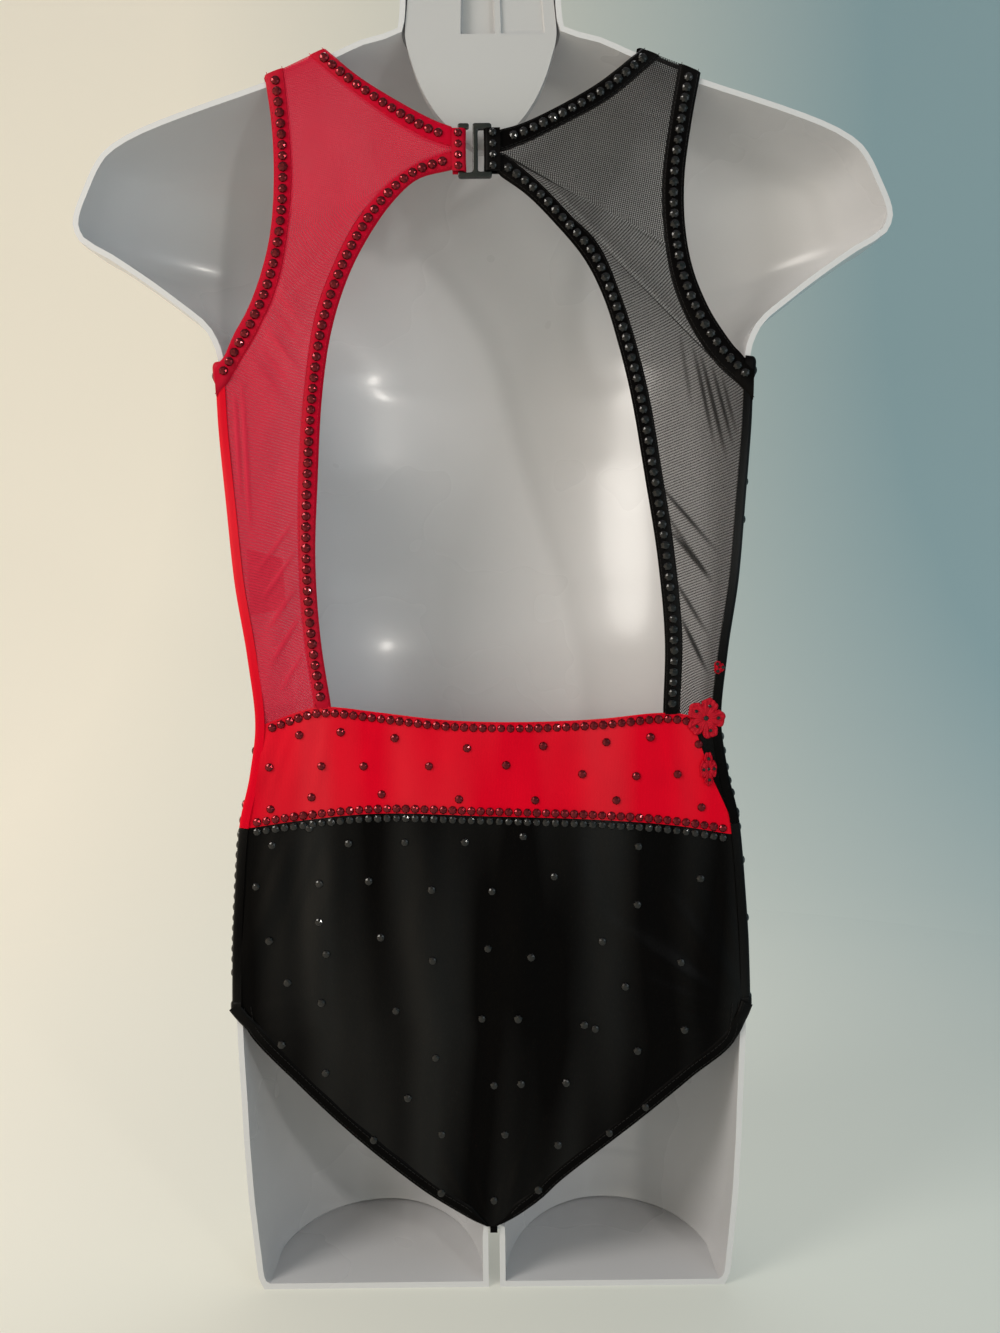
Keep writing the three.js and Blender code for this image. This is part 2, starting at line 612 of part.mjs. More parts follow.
// Line of places moved by half a seam towards another line
function placesTowards(line, other, by) {
  return line.map((place, k) => {
    const start = formPoint(place.p, place.z);
    const run = start.distanceTo(formPoint(other[k].p, other[k].z)) || 1;
    const t = by / run;
    const wrap = place.wrap || 0;
    return { p: mix(place.p, other[k].p, t), z: mix(place.z, other[k].z, t), wrap };
  });
}

// Share across a row of front cloth: its first columns are held tight, as rows with a wrap have them
function tightShare(c, cols) {
  if (c < HELD_COLUMNS) return c * TIGHT_SHARE;
  return mix(HELD_COLUMNS * TIGHT_SHARE, 1, rimDense((c - HELD_COLUMNS) / cols));
}

// Half of the front bodice: full rows up to the underarm, then between armhole and neck
function bodice(side) {
  const rows = [];
  for (const z of BODICE_LEVELS) {
    const row = WRAP_STEPS.map((wrap) => ({ p: side, z, wrap }));
    for (let c = 0; c <= BODICE_COLUMNS; c += 1) {
      row.push({ p: side * mix(1, CENTRE_SEAM, rimDense(c / BODICE_COLUMNS)), z });
    }
    rows.push(row);
  }
  const rimRow = rows[rows.length - 1].map(({ p }, c) => (
    { p: p * (1 - Math.min(c, HELD_COLUMNS) * RIM_STEP), z: UNDERARM_Z + SEAM_HALF }));
  rows.push(rimRow);
  const arm = onForm(FRONT_ARM_INNER, ARM_STEPS);
  const centreSteps = ARM_STEPS - NECK_STEPS;
  const neck = onForm(FRONT_NECK_INNER, NECK_STEPS);
  for (let k = centreSteps; k > 0; k -= 1) {
    neck.unshift({ p: 0, z: mix(UNDERARM_Z, FRONT_NECK_INNER[0].z, (k - 1) / centreSteps) });
  }
  const armSide = placesTowards(arm, neck, SEAM_HALF);
  const neckSide = placesTowards(neck, arm, SEAM_HALF);
  for (let r = 1; r <= ARM_STEPS; r += 1) {
    rows.push(rimRow.map((_, c) => {
      const t = tightShare(c, BODICE_COLUMNS);
      const p = Math.max(CENTRE_SEAM, mix(armSide[r].p, neckSide[r].p, t));
      return { p: side * p, z: mix(armSide[r].z, neckSide[r].z, t) };
    }));
  }
  return frontPatch(rows);
}

// Brief front: from the waist seam down to the crotch channel
function briefFront() {
  const half = BRIEF_COLUMNS / 2;
  const rows = [];
  for (const z of BRIEF_LEVELS) {
    const row = WRAP_STEPS.map((wrap) => ({ p: -1, z, wrap }));
    for (let c = 0; c <= BRIEF_COLUMNS; c += 1) {
      row.push({ p: Math.sign(c - half) * (1 - rimDense((half - Math.abs(c - half)) / half)), z });
    }
    for (const wrap of WRAP_STEPS.slice().reverse()) row.push({ p: 1, z, wrap });
    rows.push(row);
  }
  const last = BRIEF_COLUMNS + 2 * HELD_COLUMNS;
  const share = (c) => {
    const t = 1 - tightShare(Math.min(c, last - c), half);
    return c < last / 2 ? -t : t;
  };
  const rimRow = rows[rows.length - 1].map(({ p }, c) => {
    const edge = Math.min(c, last - c, HELD_COLUMNS);
    return { p: p * (1 - edge * RIM_STEP), z: HIP_Z - SEAM_HALF };
  });
  rows.push(rimRow);
  const leg = onForm(BRIEF_LEG, BRIEF_LEG_STEPS).reverse();
  for (const { p, z } of leg.slice(1)) rows.push(rimRow.map((_, c) => ({ p: p * share(c), z })));
  return frontPatch(rows);
}

// Binding strip on the front, between its free edge and the line where the cloth starts
function frontBinding(side, edgeTable, innerTable, steps, atRim) {
  const cut = (line) => line.map(({ p, z }) => ({ p: Math.max(p, CENTRE_SEAM), z }));
  const edge = cut(onForm(edgeTable, steps));
  const inner = cut(onForm(innerTable, steps));
  const innerSide = placesTowards(inner, edge, SEAM_HALF);
  const rows = edge.map((place, r) => [0, 0.5, 1].map((t) => (
    { p: side * mix(place.p, innerSide[r].p, t), z: mix(place.z, innerSide[r].z, t) })));
  if (atRim) {
    const z0 = edgeTable[0].z;
    const z1 = innerTable[0].z + SEAM_HALF;
    for (const wrap of WRAP_STEPS.slice().reverse()) {
      rows.unshift([0, 0.5, 1].map((t) => ({ p: side, z: mix(z0, z1, t), wrap })));
    }
  }
  return frontPatch(rows, BINDING_WALL);
}

// Gusset: from the front brief under the crotch, round the form's edge to the seat
function gusset() {
  const grid = (lift) => {
    const line = GUSSET_PATH.map(({ z, half }) => {
      const step = 0.2;
      const slope = new THREE.Vector2(floorDepth(z + step) - floorDepth(z - step), 2 * step);
      const out = new THREE.Vector2(slope.y, -slope.x).normalize();
      return { half, y: floorDepth(z) + out.x * lift, z: z + out.y * lift };
    });
    const backY = -BACK_CLEAR - lift + CLOTH_GAP;
    line.push({ half: GUSSET_END_HALF, y: backY * 0.8, z: CROTCH_Z - lift * 0.6 });
    line.push({ half: GUSSET_END_HALF, y: backY, z: SEAT_END_Z - 2 * SEAM_HALF });
    return line.map(({ half, y, z }) => (
      [-1, -0.5, 0, 0.5, 1].map((t) => new THREE.Vector3(AXIS_X + t * half, y, z))));
  };
  return wall(grid(CLOTH_GAP + CLOTH_WALL), grid(CLOTH_GAP));
}

// Seam of the back with the side, just inside the silhouette
function sideLine(side, fromZ, toZ, count) {
  const line = [];
  for (let k = 0; k <= count; k += 1) {
    const z = mix(fromZ, toZ, k / count);
    line.push({ x: AXIS_X + side * (formHalf(z) - SIDE_INSET), z });
  }
  return line;
}

// Sides of the back mesh: neck and keyhole on one, armhole and side seam on the other
function meshSides(side, lines) {
  const inner = [...lines.neckInner, ...lines.keyInner];
  const corner = lines.armInner[lines.armInner.length - 1];
  const foot = side < 0 ? NET_FOOT_LEFT : NET_FOOT_RIGHT;
  const seam = sideLine(side, corner.z - SEAM_DROP, foot, inner.length - lines.armInner.length - 1);
  return { inner, outer: [...lines.armInner, ...seam] };
}

// Back panel filled in between its top, bottom, left and right lines
function backPanel(top, bottom, left, right, folds, thickness) {
  const rows = left.length - 1;
  const cols = top.length - 1;
  const blend = (axis, r, c) => {
    const v = r / rows;
    const u = c / cols;
    const ruled = mix(top[c][axis], bottom[c][axis], v) + mix(left[r][axis], right[r][axis], u);
    const upper = mix(top[0][axis], top[cols][axis], u);
    const lower = mix(bottom[0][axis], bottom[cols][axis], u);
    return ruled - mix(upper, lower, v);
  };
  const grid = (lift) => left.map((_, r) => top.map((__, c) => {
    const x = blend('x', r, c);
    const z = blend('z', r, c);
    return new THREE.Vector3(x, backInner(folds, x, z) - lift, z);
  }));
  return wall(grid(thickness), grid(0));
}

// Line with both its ends moved onto the given points
function pinned(line, start, end) {
  return line.map((point, k) => {
    if (k === 0) return start;
    return k === line.length - 1 ? end : point;
  });
}

// Waistband: its ends follow the side seams
function waistband() {
  const topLine = alongLine(BAND_TOP, BAND_COLUMNS);
  const bottomLine = alongLine(BAND_BOTTOM, BAND_COLUMNS);
  const left = sideLine(-1, topLine[0].z, bottomLine[0].z, BAND_ROWS);
  const right = sideLine(1, topLine[BAND_COLUMNS].z, bottomLine[BAND_COLUMNS].z, BAND_ROWS);
  const top = pinned(topLine, left[0], right[0]);
  const bottom = pinned(bottomLine, left[BAND_ROWS], right[BAND_ROWS]);
  return backPanel(top, bottom, left, right, BAND_FOLDS, CLOTH_WALL);
}

// Seat: side seams and leg lines left and right, the waistband's lower line on top
function seat() {
  const drop = 2 * SEAM_HALF;
  const bound = (side, leg, topZ) => [
    ...sideLine(side, topZ, leg[0].z, SEAT_SIDE_ROWS).slice(0, -1), ...alongLine(leg, SEAT_LEG_ROWS),
  ];
  const topLine = alongLine(BAND_BOTTOM, BAND_COLUMNS).map(({ x, z }) => ({ x, z: z - drop }));
  const left = bound(-1, LEG_EDGE_LEFT, topLine[0].z);
  const right = bound(1, LEG_EDGE_RIGHT, topLine[BAND_COLUMNS].z);
  const top = pinned(topLine, left[0], right[0]);
  const end = left.length - 1;
  const bottom = top.map((_, c) => {
    const t = c / BAND_COLUMNS;
    return { x: mix(left[end].x, right[end].x, t), z: mix(left[end].z, right[end].z, t) };
  });
  return backPanel(top, bottom, left, right, SEAT_FOLDS, CLOTH_WALL);
}

// Closure tab: a strip folded round a bar of the hook, open towards the binding
function closureTab(closedX, openX) {
  const turn = Math.sign(openX - closedX);
  const shape = new THREE.Shape([
    new THREE.Vector2(openX, -TAB_HALF), new THREE.Vector2(closedX, -TAB_HALF),
    new THREE.Vector2(closedX, TAB_HALF), new THREE.Vector2(openX, TAB_HALF),
    new THREE.Vector2(openX, TAB_HALF - TAB_WALL),
    new THREE.Vector2(closedX + turn * TAB_WALL, TAB_HALF - TAB_WALL),
    new THREE.Vector2(closedX + turn * TAB_WALL, -TAB_HALF + TAB_WALL),
    new THREE.Vector2(openX, -TAB_HALF + TAB_WALL),
  ]);
  return new THREE.ExtrudeGeometry(shape, { depth: TAB_TOP - TAB_BOTTOM, bevelEnabled: false });
}

// Hook: closed slot for one tab, open hook for the other
function hookClasp() {
  const { left, nub, gap, bar, right, low, high } = HOOK;
  const outline = [
    [left, low], [right, low], [right, high], [gap, high], [gap, low + bar], [left + bar, low + bar],
    [left + bar, high - bar], [nub, high - bar], [nub, high], [left, high],
  ];
  const slot = [
    [gap + bar, low + bar + SLOT_EASE], [gap + bar, high - bar - SLOT_EASE],
    [right - bar, high - bar - SLOT_EASE], [right - bar, low + bar + SLOT_EASE],
  ];
  const shape = new THREE.Shape(outline.map(([x, z]) => new THREE.Vector2(x, z)));
  shape.holes.push(new THREE.Path(slot.map(([x, z]) => new THREE.Vector2(x, z))));
  return new THREE.ExtrudeGeometry(shape, { depth: HOOK.thick, bevelEnabled: false });
}

// Flower of rounded petals, raised from the cloth that it lies on
function flower({ x, z, wide, tall, petals }) {
  const folds = [...BAND_FOLDS, ...MESH_FOLDS_RIGHT];
  const around = petals * PETAL_STEPS;
  const rings = [0.1, 0.55, 1];
  const grid = (raised) => {
    const rows = [];
    for (let k = 0; k < around; k += 1) {
      const angle = 2 * Math.PI * k / around;
      const lobe = mix(1, Math.abs(Math.cos(petals * angle / 2)), PETAL_DIP);
      rows.push(rings.map((ring) => {
        const px = x + wide * ring * lobe * Math.cos(angle);
        const pz = z + tall * ring * lobe * Math.sin(angle);
        const dome = raised ? FLOWER_WALL * mix(FLOWER_EDGE, 1, Math.sin(Math.PI * ring)) : 0;
        return new THREE.Vector3(px, backInner(folds, px, pz) - FLOWER_SEAT - dome, pz);
      }));
    }
    return rows;
  };
  return wall(grid(true), grid(false), true);
}

add('torso_form', formShell(), WHITE, 0.3);
add('neck_plate', neckPlate(), WHITE, 0.3);
add('front_bodice_left', bodice(-1), RED);
add('front_bodice_right', bodice(1), BLACK);
add('front_brief', briefFront(), BLACK);
add('gusset', gusset(), BLACK);

for (const side of [-1, 1]) {
  const left = side < 0;
  const suffix = left ? 'left' : 'right';
  const edgeColor = left ? RED : BLACK;
  const folds = left ? MESH_FOLDS_LEFT : MESH_FOLDS_RIGHT;
  const lines = {
    neckEdge: alongLine(left ? NECK_EDGE_LEFT : NECK_EDGE_RIGHT, BACK_NECK_STEPS),
    neckInner: alongLine(left ? NECK_INNER_LEFT : NECK_INNER_RIGHT, BACK_NECK_STEPS),
    keyEdge: alongLine(left ? KEY_EDGE_LEFT : KEY_EDGE_RIGHT, BACK_KEY_STEPS),
    keyInner: alongLine(left ? KEY_INNER_LEFT : KEY_INNER_RIGHT, BACK_KEY_STEPS),
    armEdge: alongLine(left ? ARM_EDGE_LEFT : ARM_EDGE_RIGHT, BACK_ARM_STEPS),
    armInner: alongLine(left ? ARM_INNER_LEFT : ARM_INNER_RIGHT, BACK_ARM_STEPS),
  };
  const { inner, outer } = meshSides(side, lines);
  const mesh = backPatch(inner, outer, NET_COLUMNS, folds, CLOTH_WALL);
  add(`back_mesh_${suffix}`, mesh, left ? RED_NET : BLACK_NET);
  const [neckEdgeEnd, neckInnerEnd] = NECK_END[suffix];
  const [keyEdgeEnd, keyInnerEnd] = KEY_END[suffix];
  const strips = [
    ['neck_binding_back', [...lines.neckEdge, neckEdgeEnd], [...lines.neckInner, neckInnerEnd]],
    ['keyhole_binding', [keyEdgeEnd, ...lines.keyEdge], [keyInnerEnd, ...lines.keyInner]],
    ['armhole_binding_back', lines.armEdge, lines.armInner],
  ];
  for (const [name, edge, seam] of strips) {
    add(`${name}_${suffix}`, backPatch(edge, seam, 2, folds, BINDING_WALL, [0, 1]), edgeColor);
  }
  add(`neck_binding_front_${suffix}`,
    frontBinding(side, FRONT_NECK_EDGE, FRONT_NECK_INNER, NECK_STEPS, false), edgeColor);
  add(`armhole_binding_front_${suffix}`,
    frontBinding(side, FRONT_ARM_EDGE, FRONT_ARM_INNER, ARM_STEPS, true), edgeColor);
  const [closedX, openX] = left ? [TAB_LEFT_CLOSED, TAB_LEFT_OPEN] : [TAB_RIGHT_CLOSED, TAB_RIGHT_OPEN];
  const tab = add(`closure_tab_${suffix}`, closureTab(closedX, openX), edgeColor);
  tab.position.set(0, TAB_Y, TAB_BOTTOM);
}

add('waistband_back', waistband(), RED);
add('seat_back', seat(), BLACK);
const hook = add('hook_clasp', hookClasp(), PLASTIC, 0.35);
hook.rotation.x = Math.PI / 2;
hook.position.y = TAB_Y + HOOK.thick / 2;
FLOWERS.forEach((place, k) => add(`flower_${k + 1}`, flower(place), RED));

group.position.set(-AXIS_X, -FRAME_Y, 0);

export default group;
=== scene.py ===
"""Leotard on a hollow torso form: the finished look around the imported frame.

Lengths in the tables are millimetres in the maker's own setting: the open back of the form is the
plane y = 0, and its middle is x = AXIS_X. Every mesh is put into the frame's metres when it is made.
"""
from __future__ import annotations

import logging
import math
import random
from dataclasses import dataclass, field
from enum import Enum
from typing import Callable, Sequence

import bpy
import bmesh
import numpy as np
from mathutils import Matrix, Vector, noise

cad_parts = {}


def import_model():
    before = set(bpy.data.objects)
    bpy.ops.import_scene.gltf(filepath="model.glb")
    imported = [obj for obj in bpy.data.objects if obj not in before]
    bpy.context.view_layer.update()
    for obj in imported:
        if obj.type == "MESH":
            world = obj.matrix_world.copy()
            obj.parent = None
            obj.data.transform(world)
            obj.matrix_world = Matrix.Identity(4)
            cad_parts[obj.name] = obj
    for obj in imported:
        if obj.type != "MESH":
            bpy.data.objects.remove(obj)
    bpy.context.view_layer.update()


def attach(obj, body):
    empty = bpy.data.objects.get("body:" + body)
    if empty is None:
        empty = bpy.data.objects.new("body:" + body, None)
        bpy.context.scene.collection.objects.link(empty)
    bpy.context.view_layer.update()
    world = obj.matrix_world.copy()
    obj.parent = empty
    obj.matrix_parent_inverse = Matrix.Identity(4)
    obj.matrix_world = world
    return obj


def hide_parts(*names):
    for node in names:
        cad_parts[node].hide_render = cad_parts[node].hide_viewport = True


LOG = logging.getLogger("leotard")

MM = 0.001
AXIS_X = 1.4
FRAME_Y = 54.4
FORM_WALL = 3.0
CROTCH_Z = 31.0
CROTCH_RISE = 90.0
THIGH_GAP_HALF = 3.0
CHANNEL_SHARE = 0.12
SECTION_FULLNESS = 0.8
LEG_BLEND_FROM = 70.0
LEG_BLEND_RUN = 60.0
BACK_CLEAR = 0.6
SEAM_HALF = 0.15
SEAM_INSET = 2.3
TUCK = 1.3
PIECE_FOOT = 3.0
CLOTH_GAP = 1.4
WAIST_SEAM_Z = 247.0
UNDERARM_Z = 483.6
HIP_Z = 150.2
CENTRE_SEAM = 0.0014
BODY = "root"
# Places across the front: crowded at the rim by this power, and counted as the rim from AT_RIM on
CROWDING = 1.35
AT_RIM = 0.999
# Half steps for the slope of the form: place and mm
SLOPE_STEP = (0.004, 0.6)
# A line's end further than this from the middle lies on the rim
RIM_FROM = 80.0
HALVINGS = 26
# A fold fades out at FOLD_REACH widths; its height along it is a sine from FOLD_START over FOLD_RUN
FOLD_REACH = 3.0
FOLD_START = 0.12
FOLD_RUN = 0.85
# Unevenness is this much longer upwards than sideways
RIPPLE_STRETCH = 2.2

Piece = bpy.types.Object
Socket = bpy.types.NodeSocket
Line = list[tuple[float, float]]
Grid = list[list[Vector]]

# Outline of the form in the rim plane: height, half width, depth
FORM_ROWS = (
    (0, 123, 92), (6, 126, 94), (18, 127.5, 95), (31, 129, 96), (34, 129.3, 96), (40, 130, 96),
    (50, 131, 96), (64, 132, 97), (82, 133.2, 97), (91, 133.6, 97.5), (100, 134, 98),
    (110, 134.6, 98.5), (121, 135.2, 99), (131, 135.7, 99.5), (140, 136, 99.7), (150, 136.2, 100),
    (180, 135.8, 101), (212, 134.2, 99), (247, 131.5, 95), (275, 125.5, 90), (302, 122.3, 87),
    (337, 126, 88), (380, 132.8, 95), (420, 136.6, 104), (460, 140.2, 111), (498, 142.6, 112),
    (512, 148, 110), (527, 165, 107), (552, 200, 101), (562, 216, 98), (571, 219.5, 96),
    (592, 212.8, 89), (609, 203.5, 83), (618, 191, 79), (626, 173, 75), (636, 145, 70),
    (646, 115.5, 64), (654, 96, 59), (661, 79.5, 54), (668, 64, 49), (674, 44.5, 46),
    (690, 43, 43), (712, 42.5, 40),
)

# Lines of the back in the rim plane, from top to bottom: x, z
ARM_EDGE = {
    -1: ((-114.2, 648.5), (-110.8, 622), (-110, 592), (-112.5, 563), (-118.6, 539.5),
         (-125.5, 522.5), (-132, 511), (-137.4, 498.5)),
    1: ((118.6, 647.5), (113.6, 622), (109.4, 592), (109.6, 565), (113.6, 542.5), (122, 521.5),
        (132, 505.5), (140.2, 495)),
}
ARM_INNER = {
    -1: ((-103.4, 652.5), (-100.6, 622), (-99.6, 592), (-102.3, 563), (-108.5, 534.3),
         (-118.6, 512.3), (-129, 495), (-136.2, 484)),
    1: ((107, 652.5), (101.5, 621), (97.4, 590), (98, 564), (102.4, 536), (112, 512),
        (125.5, 492), (138.6, 479.5)),
}
NECK_EDGE = {
    -1: ((-81.5, 662.5), (-63, 647), (-34.7, 629.5), (-23, 623.5), (-14.8, 620.4)),
    1: ((87, 660.5), (62.2, 641.8), (31.3, 625.3), (20, 620.8), (11.4, 618.6)),
}
NECK_INNER = {
    -1: ((-90.5, 658.5), (-67.9, 639.2), (-42.3, 620.5), (-30, 613.5), (-19, 609.3)),
    1: ((97, 656.5), (70, 634.5), (39, 618), (26, 611.8), (14.4, 607.4)),
}
KEY_EDGE = {
    -1: ((-14.8, 597.4), (-33, 592.6), (-46.5, 580.7), (-61.2, 559.8), (-71.6, 539), (-80.1, 512),
         (-85.3, 479), (-88.3, 433), (-90, 388), (-87.6, 347), (-82.6, 312.4)),
    1: ((11.4, 593.6), (25, 583.6), (38.8, 569.5), (54.8, 550), (65.3, 529), (73, 503.7),
        (79.4, 476.5), (86.7, 431), (92.7, 390), (96.2, 345), (94.9, 307)),
}
KEY_INNER = {
    -1: ((-19, 606.8), (-35, 600.2), (-52.3, 587.6), (-67.4, 569), (-80.5, 543.5), (-89, 520),
         (-95.2, 481), (-98.9, 433), (-99, 384), (-96.7, 347), (-91.8, 312.4)),
    1: ((14.4, 604.8), (32, 590), (48, 573), (63.5, 556), (74.2, 531), (82.6, 504), (89.6, 474),
        (96.3, 431), (102, 391), (105.5, 345), (103.8, 306.5)),
}
BAND_TOP = (
    (-117.6, 302.4), (-110, 305.2), (-101.4, 308.2), (-91.7, 310.9), (-82.1, 311.2), (-57, 308),
    (-20, 303.4), (19, 302), (60, 303.2), (91, 306), (104, 305.6), (120.4, 301),
)
BAND_BOTTOM = (
    (-126.8, 247), (-101, 250.5), (-60, 254), (0, 252), (60, 249.4), (100, 246), (130.2, 241),
)
LEG_EDGE = {
    -1: ((-131.5, 150), (-129, 139), (-101.4, 109.1), (-69.7, 79.4), (-37.8, 53.9), (-27.2, 46.8),
         (-11.3, 37.5), (-2.2, 33)),
    1: ((134.3, 150), (131.5, 131.5), (108, 111.6), (80.3, 89.5), (37.1, 56.8), (27, 47.6),
        (13, 38), (2.4, 33)),
}
MESH_FOOT = {-1: 302.2, 1: 299.6}
# Where the armhole bindings of the back end on the side: free edge, seam
ARM_ENDS = {-1: ((-142.2, 493.5), (-141.6, 477.5)), 1: ((145, 489.5), (144.4, 472.5))}
# Right edge of the waistband, under the flowers, and where it ends below
WEDGE_EDGE = ((109.4, 304.5), (113.6, 292), (119.6, 274), (127, 257), (132.4, 244.5))
# Square ends of the bindings at the closure: neck edge, neck seam, keyhole seam, keyhole edge
CLOSURE_ENDS = {
    -1: ((-12.6, 617), (-12.6, 608.2), (-12.6, 607.8), (-12.6, 597)),
    1: ((9.4, 616.6), (9.4, 606.4), (9.4, 606), (9.4, 596)),
}
NECK_PLATE = (
    (611, 2.5), (614.5, 8), (621, 15.8), (630, 24.5), (642, 32), (657, 37.5), (671.4, 40.6),
    (690, 39.2), (708.4, 38.6),
)
# Pockets of the neck plate: share from, share to, depth
POCKETS = ((-0.268, 0.19, 5.0), (0.264, 0.847, 1.6))

# Lines of the front on the form: distance from its middle, height
FRONT_NECK_EDGE = ((0, 613), (24, 617), (44, 627), (60, 641), (72, 651), (82.9, 659.6))
FRONT_NECK_INNER = ((0, 602), (28, 607), (50, 618.5), (68, 634), (80, 646), (91.9, 655.7))
FRONT_ARM_EDGE = (
    (142, 496), (139, 497), (133, 501), (124, 513), (115, 531), (108.5, 552), (106, 577),
    (105.5, 601), (108, 624), (112, 638), (115.5, 646),
)
FRONT_ARM_INNER = (
    (141.6, 484), (138, 485), (130, 490), (118, 503), (106, 525), (99, 549), (95, 576),
    (94.5, 601), (97, 625), (101, 641), (104.9, 650.2),
)
BRIEF_LEG = (
    (19.6, 64), (28, 82), (34, 98), (51, 112), (90, 128), (112, 140), (128, 146), (136.2, 149.4),
)
GUSSET_PATH = ((63.4, 19.6), (54, 14), (46, 9.6), (40, 6.2), (36, 4), (33, 2.6), (31.6, 2))


class Half(Enum):
    """The two colour halves of the garment."""

    RED = -1
    BLACK = 1

    @property
    def suffix(self) -> str:
        """End of this half's piece names."""
        return "left" if self is Half.RED else "right"

    def slot(self, cloth: str) -> str:
        """The record's slot for a cloth in this half's colour."""
        return f"{self.name.lower()}_{cloth}"


@dataclass(frozen=True)
class Fold:
    """A soft ridge, or a trough with a negative lift, laid on the cloth."""

    x0: float
    z0: float
    x1: float
    z1: float
    lift: float
    wide: float

    def height(self, x: float, z: float) -> float:
        """Height over the smooth cloth at a place.

        Args:
            x: distance sideways in mm.
            z: height in mm.

        Returns:
            The ridge's height in mm.
        """
        run_x, run_z = self.x1 - self.x0, self.z1 - self.z0
        square = run_x * run_x + run_z * run_z
        along = clamp(((x - self.x0) * run_x + (z - self.z0) * run_z) / square, 0.0, 1.0)
        away_x, away_z = x - self.x0 - along * run_x, z - self.z0 - along * run_z
        away = (away_x * away_x + away_z * away_z) / (self.wide * self.wide)
        if away > FOLD_REACH * FOLD_REACH:
            return 0.0
        return self.lift * math.sin(math.pi * (FOLD_START + FOLD_RUN * along)) * math.exp(-away)


# Larger folds, as in the solids, and the finer ones between them
SEAT_FOLDS = (
    Fold(-101, 246, -134, 160, 2.6, 7), Fold(-78, 243, -96, 150, 1.9, 9),
    Fold(-34, 240, -28, 80, 2.4, 12), Fold(20, 236, 12, 62, 2.2, 11),
    Fold(132, 148, 62, 196, 2.6, 5), Fold(133, 144, 76, 166, 2.2, 4),
    Fold(134, 152, 92, 214, 2.0, 6), Fold(-8, 38, -26, 74, 1.6, 4), Fold(6, 38, 20, 70, 1.6, 4),
    Fold(-112, 246, -129, 196, 0.8, 3), Fold(-90, 247, -112, 176, 0.7, 3.4),
    Fold(-60, 240, -66, 150, -0.7, 7), Fold(-6, 238, -10, 120, -0.8, 6),
    Fold(48, 236, 40, 120, 0.9, 9), Fold(84, 238, 78, 190, 0.6, 6),
    Fold(131, 138, 88, 146, 0.9, 3), Fold(128, 134, 92, 130, 0.7, 2.6),
    Fold(131, 158, 108, 222, 0.8, 4), Fold(134, 164, 124, 226, 0.7, 3),
    Fold(-130, 146, -88, 158, 0.7, 4), Fold(-122, 138, -84, 140, 0.6, 3),
    Fold(-14, 42, -40, 66, 0.8, 2.6), Fold(-2, 36, -6, 66, 0.8, 2.2), Fold(3, 36, 8, 62, 0.7, 2),
    Fold(12, 42, 34, 64, 0.8, 2.6), Fold(-4, 46, -16, 88, 0.6, 3), Fold(8, 48, 24, 92, 0.6, 3),
)
NET_FOLDS = {
    Half.RED: (
        Fold(-108, 538, -92, 512, 1, 4), Fold(-116, 520, -96, 484, 1.2, 4),
        Fold(-126, 502, -100, 460, 1, 5), Fold(-118, 322, -101, 388, 1.3, 6),
        Fold(-112, 536, -91, 510, 0.3, 1.2), Fold(-112, 525, -94, 502, 0.36, 1.1),
        Fold(-117, 516, -96, 490, 0.4, 1.2), Fold(-121, 508, -97, 477, 0.3, 1.2),
        Fold(-124, 500, -98, 466, 0.26, 1.2), Fold(-128, 484, -124, 400, 0.6, 1.5),
        Fold(-132, 478, -129, 420, 0.6, 1.3), Fold(-121, 384, -99, 413, 0.4, 1.4),
        Fold(-118, 370, -99, 396, 0.5, 1.5), Fold(-116, 352, -98, 378, 0.45, 1.6),
        Fold(-114, 334, -97, 362, 0.5, 1.5), Fold(-109, 320, -95, 343, 0.4, 1.4),
    ),
    Half.BLACK: (
        Fold(118, 494, 132, 432, 1.3, 4), Fold(112, 500, 121, 420, 1, 4),
        Fold(96, 420, 126, 376, 1.2, 5), Fold(103, 356, 118, 322, 1.1, 5),
        Fold(117, 496, 130, 440, 0.6, 1.1), Fold(113, 500, 124, 446, 0.5, 1.1),
        Fold(106, 508, 112, 466, 0.3, 1.2), Fold(123, 490, 134, 446, 0.55, 1.0),
        Fold(92, 430, 126, 390, 0.5, 1.2), Fold(95, 416, 122, 374, 0.35, 1.3),
        Fold(99, 404, 122, 376, 0.5, 1.2), Fold(101, 378, 120, 346, 0.45, 1.2),
        Fold(105, 356, 119, 326, 0.6, 1.2), Fold(128, 486, 136, 452, 0.4, 1.0),
    ),
}
BAND_FOLDS = (
    Fold(-114, 296, -128, 256, 1.4, 5), Fold(-96, 304, -106, 260, 1, 6),
    Fold(108, 296, 120, 252, 1, 5), Fold(-104, 300, -118, 258, 0.6, 2.4),
    Fold(-84, 302, -92, 262, 0.5, 3), Fold(-60, 296, -66, 264, 0.4, 4),
    Fold(96, 298, 104, 256, 0.5, 3), Fold(-20, 292, -14, 262, 0.35, 5), Fold(52, 294, 58, 262, 0.35, 5),
)


def mix(a: float, b: float, t: float) -> float:
    """Value between a and b at share t."""
    return a + (b - a) * t


def clamp(value: float, low: float, high: float) -> float:
    """Value kept between low and high."""
    return min(high, max(low, value))


def eased(t: float) -> float:
    """Share that starts and ends softly."""
    return t * t * (3 - 2 * t)


def spread(low: float, high: float, count: int) -> list[float]:
    """Even steps from low to high, both ends included."""
    return [mix(low, high, k / count) for k in range(count + 1)]


